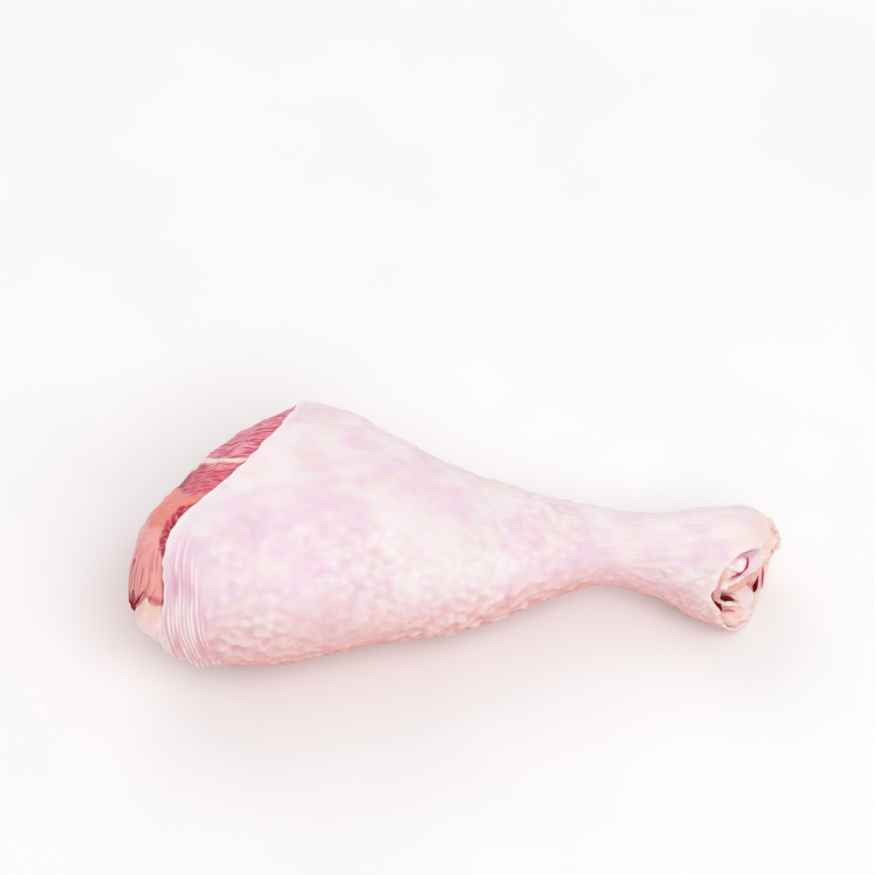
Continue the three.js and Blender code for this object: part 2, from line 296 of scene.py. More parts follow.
def capped_grid(rows):
    """Points and faces of a closed body, from rows of points that close round it."""
    count, columns = rows.shape[:2]
    points = np.concatenate([rows.reshape(-1, 3), [rows[0].mean(0), rows[-1].mean(0)]])
    faces = grid_faces(count, columns, False)
    first_pole, last_pole, last_row = count * columns, count * columns + 1, (count - 1) * columns
    for j in range(columns):
        k = (j + 1) % columns
        faces += [[first_pole, k, j], [last_pole, last_row + j, last_row + k]]
    return points, faces


def grid_normals(grid):
    """Unit normals of a grid of points that closes round the leg, pointing away from its middle line."""
    around = np.roll(grid, -1, axis=1) - np.roll(grid, 1, axis=1)
    normal = unit(np.cross(around, np.gradient(grid, axis=0)))
    outward = grid - grid.mean(axis=1, keepdims=True)
    return normal * np.sign((normal * outward).sum(-1).mean())


def swollen(grid, height):
    """The grid with every point moved out along its normal."""
    return grid + grid_normals(grid) * height[..., None]


print("a tube of 3 rings of 8 points has", len(grid_faces(3, 8, False)), "faces")

# %% [markdown]
# ## Where the drawing meets the CAD part
#
# The CAD part sits with the middle of its outline at the origin, so the points are shifted there. The shift
# comes from the box of the CAD leg bone, whose head is an oval like those of the leg.

# %% Shift to the CAD frame
BONE = [
    # The leg bone, in the same form as the ovals of the leg.
    [-92, 6, 23.5, 11, 8.5, 34],
    [-89.5, 4.8, 23.5, 15.5, 12, 34],
    [-81, 0.5, 24.5, 17, 13.5, 30],
    [-68, -5.5, 27, 13, 11.5, 20],
    [-50, -11, 29.5, 8.8, 8.6, 8],
    [-20, -14, 29.5, 7.6, 7.6, 0],
    [16, -16.5, 26, 7, 7, 0],
    [52, -19, 22.5, 6.4, 6.6, 0],
    [74, -21, 19.4, 8, 7.2, 6],
    [84, -23.5, 17.2, 9.6, 6.8, 14],
    [92, -25.8, 16.6, 9, 6.8, 20],
]
cad_rings, cad_facets = np.linspace(0, 1, 16)[:, None], circle(14)[None, :]  # as coarse as the CAD bone
drawn_bone = oval_point(BONE, cad_rings, cad_facets)
bone_low, bone_high = (np.array(corner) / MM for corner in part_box("leg_bone"))
SHIFT = np.array([bone_low[0] - drawn_bone[..., 0].min(), bone_high[1] - drawn_bone[..., 1].max(), 0])
print("shift from the leg's own drawing to the CAD frame, mm:", SHIFT.round(3))

# %% [markdown]
# ## Making a piece
#
# `make_piece` turns points and faces into an object and hides the CAD node that it stands for. Each piece also
# carries masks: numbers stored on its points, such as how red the meat is there, which its material reads.

# %% Make a piece
def add_object(name, data):
    made = bpy.data.objects.new(name, data)
    bpy.context.scene.collection.objects.link(made)
    return made


def make_piece(name, points, faces, node, slot, masks):
    """A mesh from points in millimetres, which stands for a CAD node and rides with the drumstick."""
    mesh = bpy.data.meshes.new(name)
    place = (np.asarray(points, float).reshape(-1, 3) + SHIFT) * MM
    mesh.from_pydata(place.tolist(), [], faces)
    mesh.calc_loop_triangles()
    triangles = np.zeros(len(mesh.loop_triangles) * 3, int)
    mesh.loop_triangles.foreach_get("vertices", triangles)
    first, second, third = place[triangles.reshape(-1, 3).T]
    if (first * np.cross(second, third)).sum() < 0:
        mesh.flip_normals()  # the volume came out negative, so the faces looked inwards
    for mask, values in masks.items():
        attribute = mesh.attributes.new(mask, "FLOAT", "POINT")
        attribute.data.foreach_set("value", np.broadcast_to(np.ravel(values), len(place)).astype(np.float32))
    mesh.shade_smooth()
    piece = add_object(name, mesh)
    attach(piece, "root")
    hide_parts(node)
    print(f"{name}: {len(mesh.vertices)} points, {len(mesh.polygons)} faces")
    return piece


def whole_masks(masks, count, poles=2):
    """Masks over all the points of a piece, from pairs: the values where it shows, and one for the rest."""
    return {name: np.concatenate([
        np.ravel(shown), np.full(count - np.size(shown) - poles, hidden), [shown[0].mean(), hidden][:poles],
    ]) for name, (shown, hidden) in masks.items()}


# %% [markdown]
# ## The skin's grid
#
# The skin starts as a plain sleeve. Its rows lie close together at the knee, where the folds are, and at the
# hock, where the edge is ragged. Low on the calf side its knee edge has drawn back a little, and on the far side
# of the hock it was torn, so the edge wanders there and curls in over the opening.

# %% Edges of the sleeve
RIM_REACH = [
    # angle, how far the skin reaches past the slanting plane of the hock
    (0, -0.8), (12, -2.4), (20, -4.4), (28, -5.0), (36, -3.7), (45, -3.2), (55, -3.0), (62, -2.4), (70, -0.4),
    (76, 1.4), (84, 3.8), (95, 5.2), (108, 4.2), (120, 2.4), (140, 1.0), (175, 1.6), (200, 2.4), (225, 1.0),
    (250, 0.3), (270, 0.8), (290, 1.5), (310, 1.3), (330, 0.2), (345, -0.7),
]
COLUMNS = 312
turns = circle(COLUMNS)
lengths = leg_lengths(turns)
drawn_back = 2.9 * ridge_at(turns, -22, 22, 20)
knee_ring = leg_point(0.1, turns)
knee_wander = 0.3 * lumps(knee_ring, 7, 3) + 0.15 * lumps(knee_ring, 2, 4)
knee_at = knee_setback(turns) + drawn_back + knee_wander

hock_turn_t = hock_t(turns)
hock_at = run_to(hock_turn_t, lengths)
hock_ring = leg_point(hock_turn_t, turns)
ragged = smooth(np.abs(turned(turns, 165)), 100, 55)
tears = (0.2 + 0.25 * ragged) * lumps(hock_ring, 2.6, 11) + 0.2 * ragged * lumps(hock_ring, 1.2, 12)
rim_at = hock_at + round_table(RIM_REACH, turns) + tears
curl = 3.2 * ridge_at(turns, 97, 16)
span = rim_at - knee_at
print("strips of skin, mm:", round(float(span.min()), 1), "to", round(float(span.max()), 1))

# %% Sleeve of skin
FOLDED, RAGGED = 16, 8  # how much of the sleeve has close rows, at the knee and at the hock
CURL_REACH = 9  # how far from the rim the skin begins to curl in
STEP_BACK = 0.012  # in t: two places so far apart give the way the skin heads at the hock
folded_rows = np.linspace(0, FOLDED, 66, endpoint=False)[:, None] * np.ones(COLUMNS)
body_rows = FOLDED + np.linspace(0, 1, 168, endpoint=False)[:, None] * (span - FOLDED - RAGGED)
along = np.concatenate([folded_rows, body_rows, span + np.linspace(-RAGGED, 0, 16)[:, None]])


def on_leg(distance, inset=0.0):
    """A grid of points at distances along the leg from the knee edge; past the hock they run straight on."""
    run = knee_at + distance
    place = leg_point(t_after(run, lengths), turns, inset)
    edge = leg_point(hock_turn_t, turns, inset)
    heading = unit(unit(edge - leg_point(hock_turn_t - STEP_BACK, turns, inset)) + 0.6 * HOCK_OUT)
    beyond = np.maximum(run - hock_at, 0)[..., None]
    place = np.where(beyond > 0, edge + beyond * heading, place)
    to_rim = np.clip(1 - (rim_at - run) / CURL_REACH, 0, 1)[..., None]
    return place - HOCK_RISE * curl[:, None] * to_rim ** 2


sleeve = on_leg(along)
sleeve_out = grid_normals(sleeve)
print("rows and columns of skin:", sleeve.shape[:2])

# %% [markdown]
# ## Feather follicles
#
# A plucked bird's skin is covered in small mounds where the feathers grew. They stand in rows that run round
# the leg, each row shifted by half a step from the last, and no two are quite alike. Each mound is a soft bump
# on the sleeve. They are strongest low on the calf and along the taper, and fade on the upper side and the neck.
# Low on the calf the leg's own weight presses them flatter.

# %% Places of the follicles
def follicle_places(row_gap=4.1, step=4.8, seed=21):
    """Rows of places round the leg, as distances along it and columns of the sleeve, with a size for each."""
    rng = np.random.default_rng(seed)
    top_column = COLUMNS // 4
    found = []
    for k, distance in enumerate(np.arange(14, float(np.median(span)) - 6, row_gap)):
        ring = sleeve[np.argmin(np.abs(along[:, top_column] - distance))]
        gaps = np.linalg.norm(np.roll(ring, -1, axis=0) - ring, axis=1)
        reach = np.concatenate([[0], np.cumsum(gaps)])
        count = max(int(round(reach[-1] / step)), 6)
        spots = (np.arange(count) + 0.5 * (k % 2) + rng.normal(0, 0.2, count)) / count * reach[-1]
        column = np.interp(spots % reach[-1], reach, np.arange(COLUMNS + 1))
        wave = 1.6 * np.sin(np.radians(column * 720 / COLUMNS + 40))
        wander = distance + rng.normal(0, 0.6, count) + wave
        found += list(zip(wander, column % COLUMNS, rng.uniform(0.45, 1.25, count)))
    return np.array(found)


distances, columns, sizes = follicle_places().T
columns = columns.astype(int)
follicle_points = sleeve[[np.argmin(np.abs(along[:, c] - d)) for d, c in zip(distances, columns)], columns]
print("follicles:", len(follicle_points))

# %% Mounds
MOUND_HEIGHT, MOUND_RADIUS = 1.2, 1.9
tree = kdtree.KDTree(len(follicle_points))
for k, point in enumerate(follicle_points):
    tree.insert(point, k)
tree.balance()
nearest = np.array([tree.find(point)[1:] for point in sleeve.reshape(-1, 3)])
which, away = nearest.T.reshape(2, *along.shape)
mound = 0.8 * sizes[which.astype(int)] * ridge(away, MOUND_RADIUS)
mound += 0.16 * lumps(sleeve * [0.8, 1, 1], 2.3, 22) + 0.1

angle_grid = np.broadcast_to(turns, along.shape)
low_side = smooth(np.abs(turned(angle_grid, -10)), 95, 25)
on_taper = smooth(along, 70, 110)
off_neck = 1 - 0.9 * smooth(sleeve[..., 0], 38, 62)
strength = np.clip(0.4 + 0.6 * low_side + 0.35 * on_taper, 0, 1) * off_neck * smooth(along, 10, 17)
strength *= 0.85 + 0.2 * lumps(sleeve, 20, 5)
pressed = 1 - 0.5 * ridge_at(angle_grid, -65, 55, 45)
mound_relief = MOUND_HEIGHT * strength * pressed * mound
print("tallest mound, mm:", round(float(mound_relief.max()), 2))

# %% [markdown]
# ## Folds at the knee
#
# The skin was gathered as it was pulled towards the knee, and now lies in thin folds that follow its edge. Each
# fold has a steep side towards the edge and a gentle side behind. Low down they bunch into a small lip.

# %% Folds at the knee
FOLDS = [
    # distance from the edge, height, first angle, last angle
    (0.5, 0.28, -180, 180),
    (2.1, 0.34, -62, 42),
    (3.4, 0.33, -52, 32),
    (4.7, 0.44, -70, 58),
    (6.0, 0.35, -58, 42),
    (7.3, 0.41, -72, 61),
    (8.5, 0.31, -46, 34),
    (9.8, 0.40, -70, 56),
    (11.3, 0.30, -56, 50),
    (12.8, 0.22, -50, 34),
]


def fold_relief(distance, degrees, points):
    """The height of the folds at each place, and how deep in a groove between two folds each place lies."""
    fan = 1 + 0.42 * np.clip((25 - degrees) / 55, 0, 1.25)  # the folds spread as they run down
    relief, pleated = np.zeros_like(distance), np.zeros_like(distance)
    for k, (at, height, low, high) in enumerate(FOLDS):
        fade = smooth(degrees, low - 4, low + 16) * (1 - smooth(degrees, high - 20, high + 5))
        wander = 0.13 * lumps(points * [0.2, 1, 1], 16, 30 + k) + 0.06 * np.sin(np.radians(degrees * (2 + k % 3)))
        offset = distance - (at + wander * min(at / 3, 1)) * fan
        unevenness = 0.8 + 0.35 * lumps(points, 8, 40 + k)
        relief = np.maximum(relief, height * fade * unevenness * ridge(offset, 0.33, 0.56))
        pleated = np.maximum(pleated, fade * ridge(offset, 1.6) * (k > 0))
    return relief, np.clip(pleated - relief / 0.24, 0, 1)


# The grooves between the folds are given painted shade, and their crests painted highlight.
folds, groove_shade = fold_relief(along + knee_wander, turned(angle_grid, 0), sleeve)
folds *= 0.85 + 0.15 * smooth(along, 0, 1)
lip = 2.0 * ridge_at(angle_grid, -31, 15, 11) * ridge(along - 9.5, 3.4) * (0.9 + 0.2 * lumps(sleeve, 5, 51))
print("tallest fold and lip, mm:", round(float(folds.max()), 2), round(float(lip.max()), 2))

# %% [markdown]
# ## The neck and the broad unevenness
#
# Fine wrinkles run lengthwise where the leg is thinnest, and the whole skin is slightly lumpy from the muscles
# and fat below. Three places lie lower than the rest: one under the calf, one over the shin, and a small tuck by
# the hock. All the relief is then added along the sleeve's normals. The belly that rests on the table stays
# flat, because the weight of the leg presses it down.

# %% Relief of the skin
neck_here = smooth(sleeve[..., 0], 40, 66) * (1 - smooth(sleeve[..., 0], 92, 104))
stretched = sleeve * [0.12, 1, 1]
wrinkles = 0.08 * lumps(stretched, 1.1, 61) + 0.13 * lumps(stretched, 2.0, 62)
wrinkles *= neck_here * (0.5 + 1.1 * low_side)
broad = 0.45 * lumps(sleeve, 17, 63) + 0.16 * lumps(sleeve, 6, 64) + 0.05 * lumps(sleeve, 1.5, 65)
broad -= 1.5 * ridge(along - 80, 16, 20) * ridge_at(angle_grid, -30, 26, 30)
broad -= 1.6 * ridge(along - 32, 13, 12) * ridge_at(angle_grid, 147, 30, 40)
# The tuck is a small dent, and the skin's material paints shade into it.
shaded_tuck = 1.2 * oval(along - 181, turned(angle_grid, -29) * 0.24, 4.6, 0.8, tilt=-8, soft=0.5)
relief = folds + lip + mound_relief + wrinkles + broad - shaded_tuck
relief *= 0.3 + 0.7 * smooth(along, 0, 2.5) * smooth(span - along, 0, 2)

outer = sleeve + sleeve_out * relief[..., None]
outer[..., 2] = np.maximum(outer[..., 2], 0)
print("relief of the skin, mm:", round(float(relief.min()), 2), "to", round(float(relief.max()), 2))

# %% [markdown]
# ## Closing the skin
#
# Skin has a thickness. The inner face is a coarser copy of the sleeve, a couple of millimetres in, and thinner
# at the two edges. Rounded rows join the two faces.

# %% Close the skin
THICKNESS, EDGE_THICKNESS = 2.0, 1.05
inner_along = np.linspace(1, 0, 16)[:, None] * span
from_edges = np.minimum(inner_along, span - inner_along)
inner = on_leg(inner_along, EDGE_THICKNESS + (THICKNESS - EDGE_THICKNESS) * smooth(from_edges, 0, 12))


def rounded(start, finish, outwards, bulge):
    """Two rows that round an edge from one row to another."""
    return [start * (1 - w) + finish * w + outwards * bulge * h for w, h in ((0.22, 0.8), (0.75, 0.85))]


hock_round = rounded(outer[-1], inner[0], unit(outer[-1] - outer[-4]), 0.45)
knee_round = rounded(inner[-1], outer[0], unit(outer[0] - outer[5]), 0.4)
skin_rows = np.concatenate([outer, hock_round, inner, knee_round])
print("rows of skin, outside and in all:", len(outer), len(skin_rows))

# %% [markdown]
# ## What the skin's masks say
#
# The masks tell the skin's material where a mound, a groove or a fold lies, where the skin is flushed or thin,
# where
# it turns under, and where it was cut: the cut edge shows a dark pink line in three places round the hock. The
# masks of the hollows, grooves, underside and tuck carry painted shade, and the one of the folds carries painted
# highlight.

# %% The skin as a piece
flush = 0.5 + 0.13 * lumps(sleeve, 26, 71) + 0.13 * lumps(sleeve, 9, 72) + 0.11 * lumps(sleeve, 4, 73)
cut_line = np.zeros(skin_rows.shape[:2])
at_cut = ridge_at(turns, 77, 9, 8) + 0.8 * ridge_at(turns, 46, 8) + 0.6 * ridge_at(turns, 2, 9, 8)
cut_line[len(outer) - 1:len(outer) + 3] = np.array([0.4, 1, 1, 1])[:, None] * at_cut
skin_masks = whole_masks({
    "follicle": (strength * mound, 0),
    # painted shade in the hollows between the mounds
    "pit_shade": (strength * np.clip(0.9 - mound / 0.5, 0, 1), 0),
    # painted shade in the tuck by the hock
    "shaded_tuck": (np.clip(shaded_tuck, 0, 1), 0),
    # painted shade in the grooves between the folds
    "crease_shade": (groove_shade, 0),
    "fold_highlight": (np.clip(folds / 0.4, 0, 1), 0),
    "flush": (flush, 0.5),
    # painted shade on the underside, where the skin turns down and towards the calf side
    "shaded_underside": (smooth(-sleeve_out[..., 2] + 0.4 * np.cos(angle_grid), -0.35, 0.75), 0),
    "neck": (neck_here * (0.3 + 0.7 * low_side), 0),
    "rim": (ridge(along, 0.9) + 0.8 * ridge(span - along, 2.2), 1),
    "torn": (smooth(along - span, -11, -1) * ridge_at(angle_grid, 116, 30, 60), 0),
    "inside": (np.zeros_like(along), 1),
}, cut_line.size, poles=0)
skin = make_piece("drumstick_skin", skin_rows, grid_faces(len(skin_rows), COLUMNS, True), "skin", "skin",
                  skin_masks | {"cut_line": np.clip(cut_line, 0, 1)})

# %% [markdown]
# ## The bare meat at the knee
#
# Past the skin's edge the muscles dome out towards the head of the bone. The dome is a fan of curves that start
# at the skin's edge and meet at the top of the dome. `lift` says how far up such a curve a point lies, from 0
# degrees at the skin to 90 at the top, so every muscle can be placed by an angle round the leg and a lift.

# %% Plain dome of meat
DOME_HEIGHT, DOME_ROUNDNESS = 24.0, 0.72
MEAT_STEP, HIDDEN_STEP = 1.2, 2.45  # how far the bare and the hidden meat stand in from the skin's outer face
HOCK_RECESS = 8.5  # how far inside the opening the meat stops, behind the tissue that shows there
MEAT_COLUMNS = 360
meat_turns = circle(MEAT_COLUMNS)
meat_lengths = leg_lengths(meat_turns)


def meat_on_leg(distance, inset):
    """Rows of the meat along the leg, at distances from the skin's knee edge."""
    run = knee_setback(meat_turns) + distance
    return leg_point(t_after(run, meat_lengths), meat_turns, inset)


meat_back = 2.6 * ridge_at(meat_turns, -22, 22, 20)
knee_rim = meat_on_leg(meat_back[None], MEAT_STEP)[0]
dome_foot = knee_rim[::10].mean(0) + np.array([0, 17, -4])
lifts = np.concatenate([np.linspace(87, 55, 24, endpoint=False), np.linspace(55, 0, 72)])
lift_here, meat_angles = np.meshgrid(lifts, meat_turns, indexing="ij")
upright = np.radians(lift_here)
dome = dome_foot + (knee_rim - dome_foot) * (np.cos(upright) ** DOME_ROUNDNESS)[..., None]
dome[..., 0] -= DOME_HEIGHT * np.sin(upright)
angle_here = turned(meat_angles, 0)
print("dome of meat:", dome.shape[:2])

# %% [markdown]
# ## Where the dome sinks and swells
#
# A real knee end is no even dome. The table gives places where the muscles stand out or have sunk in. Each place
# pulls the surface near it, and the more places are near a point, the more they share the pull.

# %% Hollows and swellings
HOLLOWS = [
    # angle, lift, how far the muscle stands out past the plain dome there (below nought: sunk in)
    (165, 26, -2.6), (146, 43, -3.9), (142, 58, -4.0), (138, 75, -3.4), (87, 70, -2.3), (68, 64, -4.0),
    (56, 52, -3.6), (45, 46, -3.6), (34, 44, 0.3), (22, 46, 1.4), (12, 44, 1.0), (0, 44, -0.6), (-12, 40, -2.4),
    (-18, 32, -4.2), (-24, 22, -5.2), (-30, 12, -4.6), (-50, 20, -4.6), (-55, 45, -2.4), (105, 22, -0.9),
    (70, 25, -0.6), (35, 15, 0.0), (-90, 30, -1.2), (-150, 30, -0.6),
]
HOLLOW_REACH = 6.5
pull, weight = np.zeros(dome.shape[:2]), np.full(dome.shape[:2], 0.12)
for angle, lift, depth in HOLLOWS:
    centre = dome[np.abs(lifts - lift).argmin(), angle % MEAT_COLUMNS]
    near = np.exp(-((dome - centre) ** 2).sum(-1) / (2 * HOLLOW_REACH ** 2))
    pull += near * depth
    weight += near
dome = swollen(dome, pull / weight * smooth(lift_here, 0, 6))
dome_out = grid_normals(dome)
print("the dome is sunk by up to", round(float(-(pull / weight).min()), 1), "mm")

# %% [markdown]
# ## Places and strokes on the dome
#
# `on_dome` finds what a grid holds at any angle and lift, such as a point of the dome. `stroke` measures how far
# every point of the dome lies from a path of such places, so a membrane, a slit or a dark strip can be drawn as a
# path with a width in millimetres. `patch` fills an outline in the same way.

# %% Strokes and patches
def on_dome(field, angle_degrees, lift_degrees):
    """The value of a grid over the dome, such as its points, at any angle and lift."""
    column = np.asarray(angle_degrees, float) % 360 / 360 * MEAT_COLUMNS
    row = np.interp(-np.asarray(lift_degrees, float), -lifts, np.arange(len(lifts)))
    i = np.clip(np.floor(row).astype(int), 0, len(lifts) - 2)
    u, v = (column - np.floor(column))[..., None], (row - i)[..., None]
    j = np.floor(column).astype(int) % MEAT_COLUMNS
    k = (j + 1) % MEAT_COLUMNS
    lower, upper = (field[row, j] * (1 - u) + field[row, k] * u for row in (i, i + 1))
    return lower * (1 - v) + upper * v


def stroke(path, half_widths, soft=0.5, ragged=0.0, seed=0):
    """1 within a path over the dome and 0 beside it. The path is a list of (angle, lift), and half_widths gives
    its half-width in millimetres at each of them."""
    knots = np.arange(len(path))
    steps = np.linspace(0, len(path) - 1, 40 * len(path))
    angles, path_lifts, half = (np.interp(steps, knots, v) for v in (*np.array(path, float).T, half_widths))
    reach = np.full(lift_here.shape, 9.0)
    for point, size in zip(on_dome(dome, angles, path_lifts)[::2], half[::2]):
        reach = np.minimum(reach, np.sqrt(((dome - point) ** 2).sum(-1)) / size)
    if ragged:
        reach = reach + ragged * lumps(dome, 1.5, seed)
    return 1 - smooth(reach, 1 - soft, 1 + soft)


def patch(outline, soft=0.5, ragged=0.0, seed=0):
    """1 inside a closed outline drawn on the dome and 0 outside it. The outline is a list of (angle, lift)."""
    ring = curve(outline, np.linspace(0, len(outline), 16 * len(outline), endpoint=False), closed=True)
    away = np.full(lift_here.shape, 99.0)
    for point in on_dome(dome, *ring[ring[:, 1] > 0].T):
        away = np.minimum(away, ((dome - point) ** 2).sum(-1))
    inside = np.zeros(lift_here.shape, bool)
    for (angle_a, lift_a), (angle_b, lift_b) in zip(ring, np.roll(ring, -1, axis=0)):
        crosses = (lift_a > lift_here) != (lift_b > lift_here)
        rise = lift_b - lift_a if lift_b != lift_a else 1
        inside ^= crosses & (angle_here < angle_a + (lift_here - lift_a) / rise * (angle_b - angle_a))
    signed = np.where(inside, 1, -1) * np.sqrt(away) + ragged * lumps(dome, 1.5, seed)
    return smooth(signed, -soft, soft)


# %% [markdown]
# ## Muscles, membranes and clefts
#
# Several muscles end here, each a low cushion with its own tone. Each row of the table gives a cushion's place
# and reach as angle and lift, how far it stands out, and how red and how peach it is. A point belongs to the
# cushion it is nearest to, and where two are equally near the surface dips a little.

# %% Muscles
MUSCLES = np.array([
    # angle, lift, reach in angle, reach in lift, height, redness, peach
    (125, 26, 30, 60, 0.5, 0.75, 0.0),
    (86, 34, 9, 50, 0.1, 0.3, 0.8),
    (70, 24, 9, 50, 0.3, 0.2, 0.95),
    (55, 20, 9, 40, 0.3, 0.0, 0.1),
    (32, 28, 20, 52, 0.5, 0.25, 0.25),
    (-10, 20, 18, 36, 0.0, 0.5, 0.3),
    (-50, 26, 24, 40, 0.8, 0.75, 0.1),
    (-94, 24, 24, 34, 1.4, 0.6, 0.1),
    (-140, 24, 24, 34, 1.5, 0.5, 0.25),
    (178, 22, 26, 34, 1.4, 0.6, 0.1),
    (-120, 62, 44, 15, 0.9, 0.4, 0.5),
])
wobble = 0.12 * lumps(dome, 9, 81) + 0.05 * lumps(dome, 3, 82)
nearness = np.stack([
    (turned(meat_angles, angle) / reach) ** 2 + ((lift_here - lift) / reach_lift) ** 2 + wobble * (-1) ** k
    for k, (angle, lift, reach, reach_lift, *_) in enumerate(MUSCLES)
])
nearest_muscle = nearness.argmin(axis=0)
first, second = np.sort(nearness, axis=0)[:2]
turned_away = 1 - smooth(angle_here, -40, -20) * (1 - smooth(angle_here, 150, 170))
groove = ridge(second - first, 0.2) * (0.2 + 0.8 * turned_away)
swell = MUSCLES[nearest_muscle, 4] * (1 - np.clip(first, 0, 1)) * (1 - groove)
shares = np.exp(-(nearness - first) / 0.12)
redness, peach = np.tensordot(MUSCLES[:, 5:].T, shares / shares.sum(0), 1)
print("muscles:", len(MUSCLES), "deepest groove:", round(float(groove.max()), 2))

# %% [markdown]
# ## Membrane, dark patch, slit and streaks
#
# A cream membrane divides the upper muscle from the rest, with a dark oval of bare muscle just below it. Beside
# the skin's edge runs a deep red slit. The lower muscle carries dark streaks that gather at a bloody tip next to
# the pad of fat, and a stain runs down along the pad.

# %% Marks on the meat
fascia = stroke([(97.5, 0), (97.5, 16), (98.5, 28), (101, 42), (105, 56), (107, 66)],
                [0.7, 1.0, 1.2, 1.4, 1.4, 0.9], ragged=0.1, seed=83)
dark = patch([(95, -3), (94, 7), (93, 21), (97, 40), (102, 62), (101, 72), (98, 79), (94, 78), (88, 56), (82, 34),
              (80, 24), (79, 12), (79, 3), (79, -3)], ragged=0.3, seed=84)
outer_peach = stroke([(112, 72), (104, 77), (95, 83), (84, 86)], [1.2, 1.6, 1.8, 2.0])
slit = stroke([(73, 2), (71, 7), (65, 6), (59, 4), (53, 2.5), (49, 0.5)], [1.0, 1.9, 2.1, 1.8, 1.3, 0.6],
              soft=0.3, ragged=0.12, seed=85)
edge_line = stroke([(50, 0), (40, 0), (30, 0), (24, 0)], [0.6, 0.7, 0.8, 0.7], soft=0.6)
strip = stroke([(43, 33), (38, 38), (31, 42), (25, 42), (20, 40), (15, 37)], [0.5, 1.0, 1.4, 1.7, 1.7, 1.2],
               soft=0.6)
tip = stroke([(26, 32), (22, 31), (17, 31.5), (13, 33), (9, 34)], [0.6, 1.6, 2.1, 1.7, 0.8],
             soft=0.4, ragged=0.1, seed=86)
stain_by_fat = stroke([(29, 14), (27.5, 9), (27, 4), (27, 0)], [0.3, 1.1, 1.0, 0.5], soft=0.8, ragged=0.2, seed=87)
STREAKS = [
    # half-width, and a path of places
    (0.45, [(43, 28), (34, 30), (25, 31), (16, 33), (10, 35)]),
    (0.35, [(41, 20), (31, 22), (22, 26), (13, 33)]),
    (0.4, [(37, 13), (30, 16), (22, 22), (12, 32)]),
    (0.35, [(33, 8), (27, 12), (20, 20), (11, 31)]),
    (0.35, [(48, 24), (40, 30), (30, 35), (18, 37)]),
]
streaks = np.max([stroke(path, half * np.linspace(0.6, 1.9, len(path)), soft=0.8) for half, path in STREAKS], 0)
redness, peach = redness * (1 - outer_peach), np.maximum(peach, outer_peach)
print("share of the dome that is dark:", round(float(dark.mean()), 3))

# %% [markdown]
# ## Grain and relief of the meat
#
# Muscle has a grain. Over the dome it runs towards the bone, and round the lower lobe it runs with the streaks.
# The grain, the cushions, the grooves and the marks then move the dome's points out or in. Behind the dome the
# meat goes on inside the skin to the hock, so that the piece is as whole as the solid it stands for.

# %% Meat
along_grain = dome * [0.16, 1, 1]
in_lobe = smooth(58 - angle_here, 0, 10) * smooth(angle_here, -30, -15)
round_lobe = np.stack([lift_here * 0.6, angle_here * 0.1, lift_here * 0], -1)
fibres = (1 - in_lobe) * (0.6 * lumps(along_grain, 0.8, 88) + 0.5 * lumps(along_grain, 1.8, 89))
fibres += in_lobe * (0.7 * lumps(round_lobe, 0.9, 93) + 0.4 * lumps(round_lobe, 2.0, 94))
meat_relief = swell - 1.1 * groove * (1 - dark) + 0.35 * fascia - 0.35 * dark
meat_relief -= 0.7 * slit * (1 + 0.3 * lumps(dome, 1.8, 90)) + 0.5 * tip + 0.2 * strip + 0.14 * streaks
meat_relief += 0.06 * fibres + 0.25 * lumps(dome, 5, 87)
meat_relief *= smooth(lift_here, -1, 2.5) * 0.85 + 0.15
meat_outer = dome + dome_out * meat_relief[..., None]
meat_outer[..., 2] = np.maximum(meat_outer[..., 2], 0.4)

hidden_share = np.concatenate([[0.004, 0.012], np.linspace(0.03, 1, 13)])[:, None]
meat_end = run_to(hock_t(meat_turns, 2.4, HOCK_RECESS), meat_lengths) - knee_setback(meat_turns)
hidden = meat_on_leg(meat_back + hidden_share * (meat_end - meat_back), HIDDEN_STEP)
meat_points, meat_faces = capped_grid(np.concatenate([meat_outer, hidden]))
meat_points[-2] -= [0.3, 0, 0]
meat_masks = whole_masks({
    "redness": (redness, 0.5),
    "peach": (peach, 0.2),
    "membrane": (np.clip(groove * 0.6 * (1 - dark), 0, 1), 0),
    "cream": (fascia, 0),
    "dark": (dark * (0.88 + 0.12 * smooth(lift_here, 15, 45)), 0),
    "blood": (0.9 * slit, 0.6),
    "clot": (np.maximum.reduce([0.35 * tip, 0.2 * strip, 0.4 * dark * smooth(lift_here, 34, 54)]), 0),
    "lobe": (in_lobe, 0.3),
    "grain": (0.5 + 0.25 * fibres, 0.5),
    "round": (turned(meat_angles, 90) * np.minimum(1, 0.25 + np.cos(upright)), 0),
    "up": (lift_here, 0),
    "streak": (np.clip(strip + tip + 0.6 * streaks + 0.75 * stain_by_fat + 0.6 * edge_line, 0, 1), 0.2),
}, len(meat_points))
meat = make_piece("drumstick_meat", meat_points, meat_faces, "meat", "meat", meat_masks)

# %% [markdown]
# ## The pad of fat
#
# A pad of fat sits against the skin's edge, low on the calf side. Seen from outside it is a soft wedge that comes
# to a point at the top. It is built as a pillow on the dome: its outline is a ring of angles and lifts, and its
# height falls to nothing at the outline, where it sinks into the meat.

# %% Pad of fat
FAT_OUTLINE = [
    # angle and lift of each place on the pad's outline
    (29, 15), (19, 25), (8, 32), (-6, 35), (-20, 37), (-34, 36), (-48, 30), (-58, 18), (-60, 3), (-50, -5),
    (-28, -6), (-8, -6), (12, -5), (25, -3), (25, 5), (25.5, 11),
]
FAT_MIDDLE = np.array([-8.0, 14.0])
FAT_COLUMNS, FAT_RINGS = 96, 26


def on_meat(angle_degrees, lift_degrees, height):
    """Points over the meat, raised by a height; below a lift of nought they slide in under the skin."""
    under_skin = np.minimum(lift_degrees, 0)[..., None] * np.array([-0.55, 0, 0])
    surface, out = (on_dome(field, angle_degrees, lift_degrees) for field in (meat_outer, dome_out))
    return surface + out * np.asarray(height)[..., None] + under_skin


